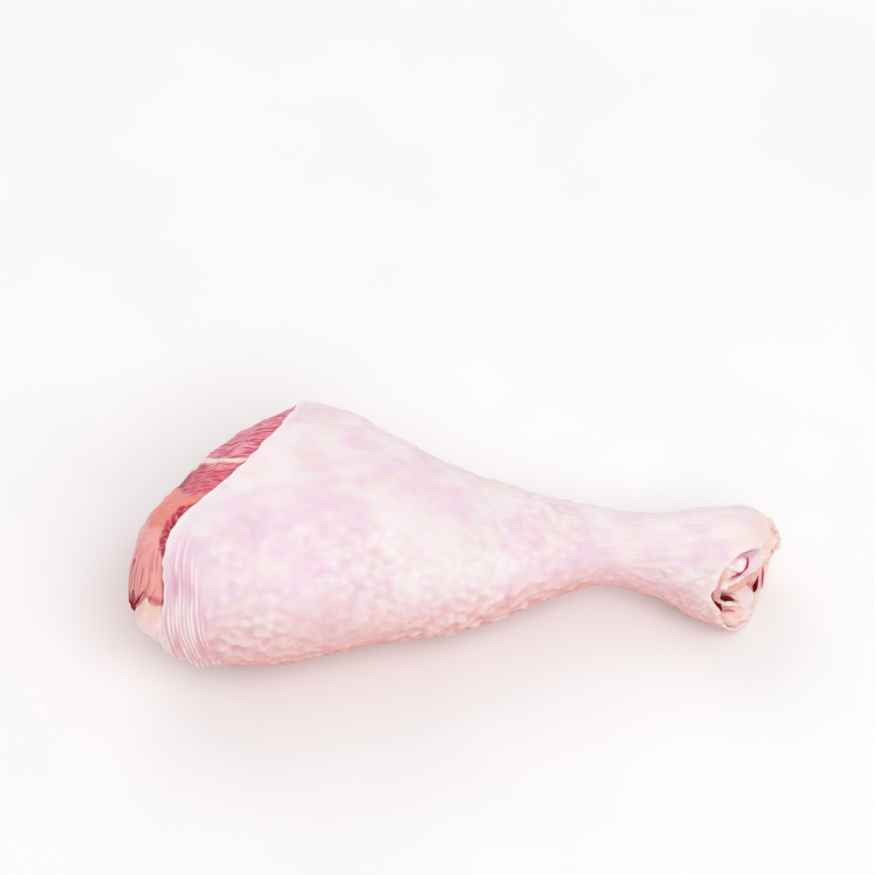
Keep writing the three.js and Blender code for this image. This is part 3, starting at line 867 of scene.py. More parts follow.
fat_edge_line = curve(FAT_OUTLINE, np.linspace(0, len(FAT_OUTLINE), FAT_COLUMNS, endpoint=False), closed=True)
share = np.sin(np.linspace(0, np.pi / 2, FAT_RINGS))[:, None]
fat_place = FAT_MIDDLE + (fat_edge_line - FAT_MIDDLE) * share[..., None]
fat_angle, fat_lift = np.moveaxis(fat_place, -1, 0)
fat_height = 1.9 * (1 - share ** 7) * smooth(fat_lift, -3, 3) - 0.15
fat_height += 0.5 * ridge(fat_angle - 12, 14) * ridge(fat_lift - 12, 9) * (1 - share)
fat_top = on_meat(fat_angle, fat_lift, fat_height)
fat_top = swollen(fat_top, (0.16 * lumps(fat_top, 4, 91) + 0.06 * lumps(fat_top, 1.6, 92)) * share)
fat_base = on_meat(fat_angle[::-4], fat_lift[::-4], np.full(fat_lift[::-4].shape, -1.6))
fat_points, fat_faces = capped_grid(np.concatenate([fat_top[1:], fat_base[:-1]]))
fat_points[-2:] = fat_top[0].mean(0), fat_base[-1].mean(0)
fat_points[:, 2] = np.maximum(fat_points[:, 2], 0.3)
fat_edge = np.ones(len(fat_points))
fat_edge[:(FAT_RINGS - 1) * FAT_COLUMNS] = np.repeat(share[1:], FAT_COLUMNS)
fat_edge[-2] = 0
knee_fat = make_piece("knee_fat_pad", fat_points, fat_faces, "knee_fat", "fat", {"edge": fat_edge})

# %% [markdown]
# ## Joining rounded shapes
#
# The ends of a bone are several rounded bodies grown into one. In Blender such bodies can overlap, and a voxel
# remesh then wraps one even skin round them all. A few rounds of smoothing take the steps of the voxels away.

# %% Balls and cords
def ball(middle, axes, sizes, steps=20):
    """An ellipsoid whose half-lengths lie along three directions."""
    around, up = circle(steps * 2), np.linspace(0.04, np.pi - 0.04, steps)[:, None]
    unit_ball = np.stack([np.sin(up) * np.cos(around), np.sin(up) * np.sin(around), np.cos(up) + 0 * around], -1)
    return capped_grid(middle + (unit_ball * sizes) @ np.array(axes))


def cord(path, radii, columns):
    """A rounded cord along a path, with a radius at each point of it."""
    path = np.asarray(path, float)
    way = unit(np.gradient(path, axis=0))
    side = unit(np.cross(way, [0.0, 0.3, 1.0]))
    up = np.cross(side, way)
    around = circle(columns)[None, :, None]
    ring = side[:, None] * np.cos(around) + up[:, None] * np.sin(around)
    return path[:, None] + ring * np.asarray(radii)[:, None, None]


def together(bodies):
    """The points and faces of several bodies as one list of each."""
    points, faces = [], []
    for body_points, body_faces in bodies:
        faces += [[i + len(points) for i in face] for face in body_faces]
        points += body_points.tolist()
    return points, faces


# %% Voxel join
def joined(bodies, voxel, smoothing):
    """One closed mesh from overlapping bodies: its points in millimetres, its faces and its points' normals."""
    points, faces = together(bodies)
    mesh = bpy.data.meshes.new("bodies")
    mesh.from_pydata(points, [], faces)
    holder = add_object("bodies", mesh)
    remesh = holder.modifiers.new("remesh", "REMESH")
    remesh.mode = "VOXEL"
    remesh.voxel_size = voxel
    softened = holder.modifiers.new("soften", "SMOOTH")
    softened.factor = 0.5
    softened.iterations = smoothing
    whole = bpy.data.meshes.new_from_object(holder.evaluated_get(bpy.context.evaluated_depsgraph_get()))
    found, normals = np.zeros((2, len(whole.vertices) * 3))
    whole.vertices.foreach_get("co", found)
    whole.vertices.foreach_get("normal", normals)
    found_faces = [list(face.vertices) for face in whole.polygons]
    bpy.data.objects.remove(holder)
    return found.reshape(-1, 3), found_faces, normals.reshape(-1, 3)


# %% [markdown]
# ## The leg bone
#
# The shaft is hidden, and both ends show. The knee end is a plateau of cartilage with two shallow cups for the
# thigh bone. The hock end is a pair of smooth knobs, the condyles, with a furrow between them where the foot
# hinged. The remeshed bone gets its cups and furrows by moving points along its normals.

# %% Leg bone
CONDYLES = [
    # rise, side, depth in the opening, and the half-lengths along the rise, to the side and outwards
    (6.3, -2.6, 8.0, [8.3, 8.8, 10.6]),
    (-9.0, -4.4, 7.6, [7.2, 6.6, 10.2]),
    (-2.0, -1.5, 9.5, [8.0, 6.4, 9.0]),
]
HEAD_MIDDLE = np.array([-92, 6, 23.5])
HEAD_ACROSS = np.array([-0.56, -0.83, 0])
hock_axes = [HOCK_RISE, HOCK_SIDE, HOCK_OUT]
shaft = oval_point(BONE, np.linspace(0, 1, 90)[:, None], circle(40)[None, :])
condyles = [ball(hock_place(*place), hock_axes, sizes) for *place, sizes in CONDYLES]
bone_points, bone_faces, bone_out = joined([capped_grid(shaft), *condyles], voxel=0.6, smoothing=7)

rise, side, out = in_hock(bone_points)
at_hock = smooth(out, -14, -8)
at_head = smooth(-bone_points[:, 0], 86, 91)
across_head, above_head = (bone_points - HEAD_MIDDLE) @ HEAD_ACROSS, bone_points[:, 2] - HEAD_MIDDLE[2]
cups = (ridge(across_head - 6, 5) + ridge(across_head + 6, 5)) * ridge(above_head, 6)
dents = 1.3 * at_head * cups + 0.7 * at_hock * ridge(rise + 2.0, 1.6)
unevenness = 0.16 * lumps(bone_points, 5, 101) + 0.05 * lumps(bone_points, 1.8, 102)
bone_points += bone_out * (unevenness - dents)[:, None]
bone_points[:, 2] -= 4.6 * smooth(-bone_points[:, 0], 74, 84) * smooth(bone_points[:, 2], 25, 34)
leg_bone = make_piece("leg_bone_and_cartilage", bone_points, bone_faces, "leg_bone", "bone", {
    "cartilage": np.maximum(at_hock, at_head),
    "sheen_ring": at_hock * np.minimum(np.hypot(rise - 6.3, side + 2.6), np.hypot(rise + 9.2, side + 2.2)),
    "furrow": at_hock * ridge(rise + 2.0, 2.2) + at_head * ridge(across_head, 1.8),
    "pinkness": 0.5 + 0.4 * lumps(bone_points, 6, 103),
})

# %% [markdown]
# ## The tissue round the condyles
#
# Between the condyles and the skin lie fat, torn sheaths and clefts with a little dark blood. This is modelled
# as a sheet stretched across the opening: each row of the table raises a soft pad or sinks a cleft at a place in
# the opening. The levels are distances from the plane of the opening, and a minus sign means inside the leg.

# %% Pads and clefts at the hock
PADS = [
    # rise, side, reach along the rise, reach along the side, tilt, level, cream, peach
    (1.4, 10.5, 4.0, 6.0, 8, -1.6, 0.8, 0.0),
    (-7.4, 17.6, 2.4, 3.2, 0, -2.4, 0.7, 0.0),
    (-2.9, 0.5, 3.3, 12.0, 15, -0.4, 0.35, 0.65),
    (-1.0, -9.0, 3.2, 3.6, 10, 0.2, 0.4, 0.6),
    (-2.6, 13.0, 1.5, 7.0, -4, -1.6, 1.0, 0.0),
    (-10.2, 9.5, 1.3, 8.5, -4, -1.2, 1.0, 0.0),
    (-9.2, 1.4, 2.4, 3.0, 0, 0.1, 1.0, 0.0),
    (-14.6, 3.5, 4.4, 11.5, 12, 1.9, 0.8, 0.2),
    (-13.4, -7.0, 5.2, 7.5, -30, 2.4, 0.95, 0.05),
    (-18.2, 3.0, 4.6, 12.0, 10, 0.7, 0.85, 0.15),
    (-3.0, -16.4, 8.0, 1.0, 4, 0.3, 1.0, 0.0),
    (-4.8, -13.8, 3.6, 1.4, 0, -1.4, 0.2, 0.3),
    (9.0, -11.0, 8.5, 4.6, 28, 1.4, 0.95, 0.05),
    (12.2, -12.0, 5.0, 3.4, 20, 2.2, 1.0, 0.0),
    (15.0, 1.5, 2.6, 7.0, -12, -0.5, 0.7, 0.3),
    (9.6, 13.0, 2.4, 3.4, 0, -3.2, 0.3, 0.5),
]
CLEFTS = [
    # rise, side, reach along the rise, reach along the side, tilt, level
    (-8.6, 9.0, 0.8, 7.0, -6, -4.2),
    (-11.0, 16.5, 1.2, 2.4, 10, -4.6),
]
TISSUE_INSET = 1.4
sunk = 2.6 - 1.9 * ridge_at(turns, -45, 42)
opening = leg_point(hock_t(turns, TISSUE_INSET, sunk[:, None]), turns, TISSUE_INSET)
opening_middle = hock_place(-0.5, 0.5, 2.6)
from_edge = 1 - np.linspace(1, 0.05, 64)[:, None]
sheet = opening_middle + (opening - opening_middle) * (1 - from_edge)[..., None]
rise, side, level = in_hock(sheet)
floor_level = -2.6 - 2.6 * smooth(from_edge, 0, 0.22)
raised, cream, peach_here = floor_level + 0 * rise, 0 * rise, 0 * rise
for at_rise, at_side, half_rise, half_side, tilt, top_level, cream_share, peach_share in PADS:
    along_tilt, off_tilt = tilted(rise - at_rise, side - at_side, tilt)
    from_middle = (along_tilt / half_rise) ** 2 + (off_tilt / half_side) ** 2
    pad = floor_level + (top_level - floor_level) * np.clip(1 - from_middle, 0, 1) ** 0.45
    on_top = smooth(pad - raised, -0.1, 0.25)
    raised = np.maximum(raised, pad)
    cream = cream * (1 - on_top) + cream_share * on_top
    peach_here = peach_here * (1 - on_top) + peach_share * on_top
cleft = 0 * rise
for at_rise, at_side, half_rise, half_side, tilt, bottom in CLEFTS:
    here = oval(rise - at_rise, side - at_side, half_rise, half_side, tilt=tilt, soft=0.35)
    raised = raised * (1 - here) + bottom * here
    cleft = np.maximum(cleft, here)
print("tissue at the hock, mm past the opening:", [round(float(v), 1) for v in (raised.min(), raised.max())])

# %% [markdown]
# ## The tissue as a closed piece
#
# The sheet is fixed to the skin all round and bulges inside that. Three more rows behind it close the piece. A
# thin dark pink stain crosses it in one place, where a sheath was cut.

# %% Tissue at the hock
STAIN_FROM, STAIN_TO, STAIN_WIDTH = np.array([-8.0, 18.6]), np.array([-7.2, 16.0]), np.array([0.9, 1.98])
by_skin = 1 - smooth(from_edge, 0, 0.1)
# Painted light: a paler cream by the skin lifts the shade at the edge of the opening.
cream = np.maximum(cream, 0.6 * by_skin)
raised += (0.22 * lumps(sheet, 2.2, 111) + 0.1 * lumps(sheet, 0.9, 112)) * smooth(from_edge, 0, 0.08)
sheet = sheet + HOCK_OUT * ((raised - level) * smooth(from_edge, 0, 0.06))[..., None]
behind = [opening_middle + (opening - opening_middle) * reach - HOCK_OUT * depth
          for reach, depth in ((1, 2), (0.9, 8), (0.3, 9))]
tissue_points, tissue_faces = capped_grid(np.concatenate([sheet[::-1], behind]))

stain = 0 * rise
for at in np.linspace(STAIN_FROM, STAIN_TO, 24):
    stain = np.maximum(stain, ridge(rise - at[0], STAIN_WIDTH[0]) * ridge(side - at[1], STAIN_WIDTH[1]))
shadowed = np.clip(0.5 - cream - peach_here, 0, 1) * smooth(-raised, 2.6, 4.6)
tissue_masks = {
    "redness": (0 * rise + 0.6, 0.6),
    "peach": (peach_here, 0.2),
    "membrane": (0 * rise + 0.35, 0),
    # the rows behind the sheet, seen beside the skin, are painted pale cream to lift their shade
    "cream": (cream, 0.75),
    "dark": (shadowed, 0),
    "lobe": (0 * rise + 1, 1),
    "grain": (0.5 + 0.2 * lumps(sheet, 0.9, 113), 0.5),
    "magenta": (np.maximum(0.55 * stain, 0.4 * by_skin * ridge_at(turns, 32, 14)), 0.3),
    "clot": (0.9 * cleft, 0),
}
tissue_masks = whole_masks({name: (shown[::-1], rest) for name, (shown, rest) in tissue_masks.items()},
                           len(tissue_points))
tissue = make_piece("hock_tissue", tissue_points, tissue_faces, "meat", "meat", tissue_masks)

# %% [markdown]
# ## Tendons
#
# Three tendons run down the shank and were cut at the hock. A cut tendon is a tough white cord that springs back a
# little, so its end is rounded and slightly swollen. Each lies along the leg, with its other end deep inside.

# %% Tendons
TENDONS = [
    # rise, side, depth of the end, radius, length
    (5.2, 12.0, -1.5, 2.7, 16),
    (-3.2, 14.6, 1.4, 1.6, 13),
    (11.6, 8.4, 3.2, 2.1, 12),
]
TENDON_WAY = unit([1, -0.16, -0.06])
TENDON_COLUMNS = 40


def round_end(distance, reach, least):
    """The share of its full radius that a rounded end has, at a distance from its tip."""
    return np.sqrt(np.clip(1 - (1 - np.clip(distance / reach, 0, 1)) ** 2, least, 1))


tendons = []
for number, (*end, radius, length) in enumerate(TENDONS, 1):
    back = np.linspace(0, 1, 34) ** 1.3 * length
    swelling = 1 + 0.1 * ridge(back - 2.4, 1.6)
    radii = radius * swelling * round_end(back, radius * 0.9, 0.002) * round_end(length - back, radius, 0.01)
    rows = cord(hock_place(*end) - TENDON_WAY * back[:, None], radii, TENDON_COLUMNS)
    bundles = 0.1 * lumps(rows * [0.4, 1, 1], 1.4, 120 + number) + 0.06 * lumps(rows, 3, 130 + number)
    cut = np.concatenate([np.repeat(np.exp(-back / 1.2), TENDON_COLUMNS), [1, 0]])
    tendons.append(make_piece(
        f"tendon_cord_{number}", *capped_grid(swollen(rows, bundles)), f"tendon_{number}", "tendon", {"cut": cut}))

# %% [markdown]
# ## Sheath, fibrous band, blood and vein
#
# The thick tendon lies in a dark pink sheath, whose cut lip shows as a crescent beside it; the dark pink of that
# crescent is also painted shade beside the tendon's end. Below it a pale fibrous band crosses to the bone. Clotted
# blood fills three small clefts, and a torn vein hangs along the inside of the far rim. A little blood has also
# run down to the tip of the lower muscle at the knee. Each of them is made of thin rounded cords through a few
# places.

# %% Cords through places
def cords_through(name, node, slot, masks, courses, place_of=hock_place):
    """A piece of thin cords. Each course is a list of three numbers for a place, and a radius."""
    bodies = []
    for course in courses:
        run = curve(course, np.linspace(0, len(course) - 1, 14 * len(course)))
        path = np.stack([place_of(*place) for place in run[:, :3]])
        taper = np.sqrt(np.clip(np.sin(np.linspace(0.03, np.pi - 0.03, len(path))), 0, 1))
        rows = cord(path, np.maximum(run[:, 3], 0.15) * taper, 16)
        bodies.append(capped_grid(swollen(rows, 0.06 * run[:, 3, None] * lumps(rows, 1.2, 125))))
    return make_piece(name, *together(bodies), node, slot, masks)


def meat_place(angle, lift, height):
    return on_meat(*np.array([[angle], [lift], [height]]))[0]


# %% Sheath, band, blood and vein
# The dark pink crescent is a sheath's cut lip and also painted shade beside the thick tendon's end.
sheath_lip_and_shade = cords_through("tendon_sheath_and_shade", "meat", "meat", {"magenta": 1.0, "clot": 0.12}, [
    # each place in the opening is a rise, a side and a depth
    [(7.2, 8.0, 0.0, 0.4), (5.9, 8.0, -0.6, 0.6), (4.2, 8.5, -0.9, 0.6), (2.2, 9.5, 0.0, 0.75),
     (1.1, 10.0, 0.5, 0.6), (0.2, 11.0, 1.2, 0.4), (-0.7, 13.0, 2.6, 0.4), (-0.1, 15.5, 3.9, 0.35)],
])
band = cords_through("fibrous_band", "tendon_2", "tendon", {"cut": 1.0}, [
    [(-2.6, 17.0, 3.3, 0.7), (-2.8, 13.0, 2.2, 1.0), (-1.8, 6.0, 2.3, 1.2), (-0.8, 0.0, 1.9, 1.1),
     (0.8, -3.0, 0.8, 0.6)],
    [(-9.9, 14.5, 2.5, 0.6), (-9.9, 9.0, 1.5, 0.9), (-10.2, 4.5, 0.6, 0.7)],
])
blood = cords_through("clotted_blood", "meat", "meat", {"clot": 1.0}, [
    [(-8.1, 12.0, 3.2, 0.8), (-8.3, 9.0, 2.7, 0.95), (-8.6, 6.0, 2.1, 0.7), (-9.0, 4.0, 1.3, 0.4)],
    [(-9.3, 17.8, 3.5, 0.6), (-10.7, 16.0, 2.5, 1.0), (-12.2, 14.0, 1.6, 0.6)],
    [(-0.6, -12.8, 0.4, 0.3), (-3.0, -13.3, 0.5, 0.5), (-4.9, -13.8, 0.6, 0.9), (-6.8, -13.8, 0.5, 0.7)],
])
blood_at_knee = cords_through("blood_at_knee", "meat", "meat", {"clot": 1.0}, [
    # each place on the meat is an angle, a lift and a height
    [(31, 38, -0.3, 0.2), (22, 37, -0.3, 0.4), (15, 36.2, -0.2, 0.7), (10, 35.5, -0.1, 0.8), (6, 36, -0.2, 0.5)],
    [(28, 31.5, -0.3, 0.2), (20, 33, -0.3, 0.35), (15, 34, -0.2, 0.6), (10, 35, -0.1, 0.8)],
    [(31.5, 17, 0.1, 0.25), (24.5, 23, 0.2, 0.4), (18, 28.5, 0.2, 0.5), (12, 33, 0.1, 0.75)],
], meat_place)
vein = cords_through("torn_vein", "meat", "meat", {"magenta": 0.8, "redness": 0.5}, [
    [(2.8, -15.6, 0.6, 0.25), (0.3, -15.6, -0.1, 0.35), (-2.1, -15.6, -0.7, 0.35), (-4.9, -15.2, -1.4, 0.3)],
    [(-12.4, 12.5, 2.1, 0.25), (-11.9, 9.0, 0.6, 0.3), (-12.2, 6.0, -0.7, 0.25)],
])

# %% [markdown]
# ## Torn rim of the hock
#
# On the far side the skin was torn rather than cut, and crumbs of fat and membrane cling to its rim. Many small
# balls are strewn along the rim and joined by the voxel remesh into one ragged strip.

# %% Torn rim
CRUMBS = 190
rng = np.random.default_rng(141)


def at_rim(degrees, outwards, inwards):
    """A place near the skin's hock edge: so far out past it, and so far in towards the leg's middle."""
    column = int(degrees / 360 * COLUMNS) % COLUMNS
    return outer[-1, column] + HOCK_OUT * outwards - sleeve_out[-1, column] * inwards


crumbs = []
for _ in range(CRUMBS):
    degrees, size = rng.uniform(92, 240), rng.uniform(0.4, 0.85)
    place = at_rim(degrees, rng.uniform(-1.2, 0.5), rng.uniform(0.3, 1.8)) + rng.normal(0, 0.35, 3)
    crumbs.append(ball(place, np.eye(3), size * rng.uniform(0.75, 1.3, 3), steps=7))
for degrees in np.arange(90, 242, 1.6):
    crumbs.append(ball(at_rim(degrees, -1.2, 1.2), np.eye(3), [0.85] * 3, steps=6))
rim_points, rim_faces, _ = joined(crumbs, voxel=0.3, smoothing=2)
torn_rim = make_piece("torn_rim", rim_points, rim_faces, "skin", "fat",
                      {"edge": 0.35 + 0.4 * lumps(rim_points, 1.8, 142)})

# %% [markdown]
# ## Building materials in short steps
#
# A material here is a small network of nodes. `Finish` adds nodes one at a time: masks come from the numbers
# stored on the points, noise adds what is finer than the mesh, and `lay` lays one tone over what is there. `tone`
# turns a tone as a screen shows it into the linear light that the renderer works with.

# %% Tones
def tone(red, green, blue):
    def linear(v):
        v /= 255
        return v / 12.92 if v <= 0.04045 else ((v + 0.055) / 1.055) ** 2.4
    return (linear(red), linear(green), linear(blue), 1)


# %% Material helpers
class Finish:
    """A node material that is built up in short steps, from a ground tone to the last stain."""

    def __init__(self, name):
        self.material = bpy.data.materials.new(name)
        self.material.use_nodes = True
        self.tree = self.material.node_tree
        self.tree.nodes.clear()
        self.surface = self.node("ShaderNodeBsdfPrincipled")
        self.join(self.surface.outputs[0], self.node("ShaderNodeOutputMaterial").inputs["Surface"])
        self.place = self.node("ShaderNodeTexCoord").outputs["Object"]
        self.colour = self.normal = None

    def node(self, kind, **settings):
        made = self.tree.nodes.new(kind)
        for key, value in settings.items():
            setattr(made, key, value)
        return made

    def join(self, source, target):
        self.tree.links.new(source, target)

    def give(self, node, values):
        """Sets a node's inputs to numbers or tones, or joins them to other nodes' outputs."""
        for key, value in values.items():
            if isinstance(value, bpy.types.NodeSocket):
                self.join(value, node.inputs[key])
            else:
                node.inputs[key].default_value = value
        return node.outputs

    def mask(self, name):
        return self.node("ShaderNodeAttribute", attribute_name=name).outputs["Fac"]

    def scaled(self, size, stretch):
        """The place on the piece, counted in steps of size millimetres."""
        scale = [s / (size * MM) for s in stretch]
        return self.give(self.node("ShaderNodeMapping"), {"Vector": self.place, "Scale": scale})[0]

    def noise(self, size, detail, stretch=(1, 1, 1)):
        """Noise whose grain is about size millimetres, stretched along some directions."""
        settings = {"Vector": self.scaled(size, stretch), "Scale": 1.0, "Detail": detail}
        return self.give(self.node("ShaderNodeTexNoise"), settings)["Fac"]

    def strands(self, size, detail):
        """Noise drawn out along fibres that run up the dome; round and up say where a place lies on it."""
        up = self.times(self.mask("up"), 0.12)
        place = self.give(self.node("ShaderNodeCombineXYZ"), {"X": self.mask("round"), "Y": up})[0]
        settings = {"Vector": place, "Scale": 1 / size, "Detail": detail}
        return self.give(self.node("ShaderNodeTexNoise"), settings)["Fac"]

    def cells(self, size):
        """The distance from the middles of cells of about size millimetres."""
        settings = {"Vector": self.scaled(size, (1, 1, 1)), "Scale": 1.0}
        return self.give(self.node("ShaderNodeTexVoronoi"), settings)["Distance"]

    def range(self, value, low, high, to_low=0.0, to_high=1.0):
        """A soft step: to_low where the value is below low, and to_high where it is above high."""
        limits = {"From Min": low, "From Max": high, "To Min": to_low, "To Max": to_high}
        step = self.node("ShaderNodeMapRange", interpolation_type="SMOOTHSTEP")
        return self.give(step, {"Value": value, **limits})["Result"]

    def spots(self, size, detail, low, high, *to, stretch=(1, 1, 1)):
        """Soft spots, where the noise lies between a low and a high level."""
        return self.range(self.noise(size, detail, stretch), low, high, *to)

    def maths(self, operation, first, second=0.0):
        return self.give(self.node("ShaderNodeMath", operation=operation), {0: first, 1: second})[0]

    def times(self, first, *others):
        """The product of masks and numbers."""
        for other in others:
            first = self.maths("MULTIPLY", first, other)
        return first

    def mix(self, factor, under, over):
        """One tone changing to another; 6 and 7 are the Mix node's two colour inputs, and 2 its colour output."""
        return self.give(self.node("ShaderNodeMix", data_type="RGBA"), {"Factor": factor, 6: under, 7: over})[2]

    def lay(self, over, *amounts):
        """Lays a tone over the colour so far, as strongly as the product of some masks and numbers."""
        self.colour = self.mix(self.times(*amounts), self.colour, over)

    def bump(self, height, millimetres, strength):
        """Adds a fine relief, which is too small for the mesh."""
        settings = {"Height": height, "Distance": millimetres * MM, "Strength": strength}
        if self.normal is not None:
            settings["Normal"] = self.normal
        self.normal = self.give(self.node("ShaderNodeBump"), settings)[0]

    def cover(self, *pieces, soft=0.0, soft_depth=2.0, wet=0.0, wet_roughness=0.12, shine=0.5, roughness=0.4):
        """Joins the colour and bump to the surface, and puts the material on pieces. soft is how much light
        spreads below the surface, and wet how much of a thin film of moisture lies on it."""
        self.give(self.surface, {
            "Base Color": self.colour,
            "Roughness": roughness,
            "Subsurface Weight": soft,
            "Subsurface Radius": (1.0, 0.4, 0.25),
            "Subsurface Scale": soft_depth * MM,
            "Coat Weight": wet,
            "Coat Roughness": wet_roughness,
            "Specular IOR Level": shine,
        })
        if self.normal is not None:
            self.join(self.normal, self.surface.inputs["Normal"])
        for piece in pieces:
            piece.data.materials.append(self.material)


# %% [markdown]
# ## Skin
#
# Poultry skin is pale and a little translucent. Its ground tone drifts between lilac pink and cream, with blotches
# on the underside. The follicle mounds are paler and slightly yellow. Painted shade makes the hollows between the
# mounds and the grooves between the folds pinker, the underside a warmer pink, and the tuck by the hock dark red.
# Painted highlight whitens the crests of the folds, and a painted warm glow with shade runs along the outline. The
# neck has faint streaks along its wrinkles. A fine crackle of tiny creases covers all of it.

# %% Skin: ground tones
f = Finish("raw_skin")
# low is the shaded underside: it carries painted shade, and places the blotches below
low = f.mask("shaded_underside")
cream, pink_cream = tone(242, 229, 219), tone(245, 224, 216)
f.colour = f.mix(f.range(f.mask("flush"), 0.1, 0.95), tone(243, 234, 238), tone(239, 213, 229))
f.lay(cream, f.spots(7, 3, 0.35, 0.7), 0.5)
# Painted shade: a warmer pink on the underside.
f.lay(tone(234, 174, 174), low, 0.75)
# The skin's blotches, laid only where the underside lies in shade.
f.lay(tone(226, 176, 152), f.spots(4.5, 3, 0.45, 0.7), low, 0.5)
f.lay(tone(222, 140, 122), f.spots(1.5, 3, 0.5, 0.68), low, 0.4)
f.lay(pink_cream, f.spots(2.2, 3, 0.5, 0.66), low, 0.45)

# %% Skin: neck, follicles, folds and edges
white, rose = tone(250, 240, 240), tone(236, 190, 184)
lengthwise, in_neck = f.noise(1.5, 3, stretch=(0.1, 1, 1)), f.mask("neck")
f.lay(white, f.range(lengthwise, 0.5, 0.7, 0.0, 0.5), in_neck)
f.lay(rose, f.range(lengthwise, 0.5, 0.34, 0.0, 0.5), in_neck)
# Painted shade: pinker hollows between the mounds, stronger on the underside.
f.lay(tone(226, 158, 158), f.mask("pit_shade"), f.maths("ADD", 0.14, f.times(low, 0.45)))
# Painted light and shade along the outline: a warm glow where the skin turns away, and a deeper orange shade on
# the underside.
grazing = f.give(f.node("ShaderNodeLayerWeight"), {"Blend": 0.35})["Facing"]
f.lay(tone(232, 140, 122), f.range(grazing, 0.35, 0.85), f.maths("ADD", 0.12, low), 0.7)
f.lay(tone(206, 98, 66), f.range(grazing, 0.7, 0.95), low, 0.9)
# Painted shade in the grooves between the folds, and painted highlight on their crests.
f.lay(tone(226, 152, 178), f.mask("crease_shade"), 0.7)
f.lay(white, f.mask("fold_highlight"), 0.8)
f.lay(tone(247, 238, 230), f.range(f.mask("follicle"), 0.1, 1.1, 0.0, 0.35))
f.lay(tone(250, 238, 234), f.mask("rim"), 0.5)
f.lay(tone(245, 218, 206), f.mask("torn"), 0.7)
f.lay(pink_cream, f.mask("inside"))
f.lay(tone(206, 50, 110), f.mask("cut_line"))
# Painted shade: dark red in the tuck by the hock.
f.lay(tone(206, 84, 80), f.mask("shaded_tuck"), 0.8)
f.bump(f.cells(0.9), 0.05, 0.6)
f.bump(f.noise(0.5, 3), 0.05, 0.5)
f.cover(skin, roughness=f.spots(3, 2, 0.3, 0.7, 0.34, 0.5), soft=0.3, soft_depth=1.6, wet=0.12, wet_roughness=0.2,
        shine=0.4)
print("nodes in the skin:", len(f.tree.nodes))

# %% [markdown]
# ## Meat
#
# The masks say where the muscle is redder, where peach or cream membrane covers it and where it is dark. Fine
# fibres run towards the bone, and the whole surface is wet. The tissue at the hock shares this finish.

# %% Meat material
f = Finish("raw_meat")
off_lobe = f.maths("SUBTRACT", 1.0, f.times(f.mask("lobe"), 0.8))
striped = f.times(off_lobe, f.range(f.mask("redness"), 0.2, 0.8, 0.1, 0.7))
strands = f.strands(1.3, 3)
f.colour = f.mix(f.range(f.mask("redness"), 0.2, 0.8), tone(244, 180, 176), tone(228, 136, 156))
f.lay(tone(238, 148, 136), f.mask("peach"))
f.lay(tone(246, 184, 196), f.range(strands, 0.5, 0.64), striped)
f.lay(tone(190, 44, 88), f.range(strands, 0.54, 0.4), striped)
f.lay(tone(206, 84, 100), f.range(f.mask("grain"), 0.5, 0.22), f.mask("lobe"), 0.36)
f.lay(tone(216, 100, 108), f.spots(5, 3, 0.5, 0.72, stretch=(0.5, 1, 1)), 0.2)
f.lay(tone(240, 186, 172), f.mask("membrane"), 0.5)
# On the meat this is the dark patch of bare muscle; on the tissue at the hock the same mask is painted shade in
# the deep places.
f.lay(f.mix(f.range(f.strands(1.2, 2), 0.32, 0.66), tone(188, 42, 82), tone(230, 124, 148)), f.mask("dark"), 0.95)
f.lay(tone(186, 40, 60), f.mask("streak"), 0.76)
f.lay(tone(251, 224, 212), f.mask("cream"))
f.lay(tone(210, 62, 122), f.mask("magenta"))
f.lay(f.mix(f.spots(1.3, 1, 0.42, 0.72), tone(172, 14, 54), tone(232, 112, 136)), f.mask("blood"))
f.lay(tone(116, 0, 14), f.mask("clot"))
f.bump(f.noise(0.8, 3, stretch=(0.25, 1, 1)), 0.12, 0.5)
f.bump(f.noise(2.5, 2), 0.2, 0.35)
dull_clots = f.maths("ADD", f.spots(2, 2, 0.3, 0.7, 0.3, 0.5), f.times(f.mask("clot"), 0.4))
f.cover(meat, tissue, sheath_lip_and_shade, vein, roughness=dull_clots, soft=0.25, soft_depth=1.6, wet=0.05, wet_roughness=0.15,
        shine=0.18)
print("nodes in the meat:", len(f.tree.nodes))

# %% [markdown]
# ## Blood
#
# Clotted blood in the clefts is almost black red, and the thinner blood at the knee is brighter. Both are dull,
# because a shine would catch the light of the studio and turn them grey.

# %% Blood materials
for name, piece, deep, thin, roughness in (
    ("clotted_blood", blood, tone(84, 0, 4), tone(150, 4, 26), 0.6),
    ("blood_on_meat", blood_at_knee, tone(128, 0, 14), tone(196, 24, 60), 0.55),
):
    f = Finish(name)
    f.colour = f.mix(f.spots(1.2, 2, 0.35, 0.65), deep, thin)
    f.cover(piece, roughness=roughness, shine=0.05)
    print("blood on", piece.name)

# %% [markdown]
# ## Cartilage, fat and tendon
#
# Cartilage is pearly, with faint rings of painted sheen round each condyle. Fat is cream with a pink blush and has
# soft lobules.
# Tendon is nearly white and shiny, and its cut end shows its bundles of fibres.

# %% Cartilage material
f = Finish("cartilage")
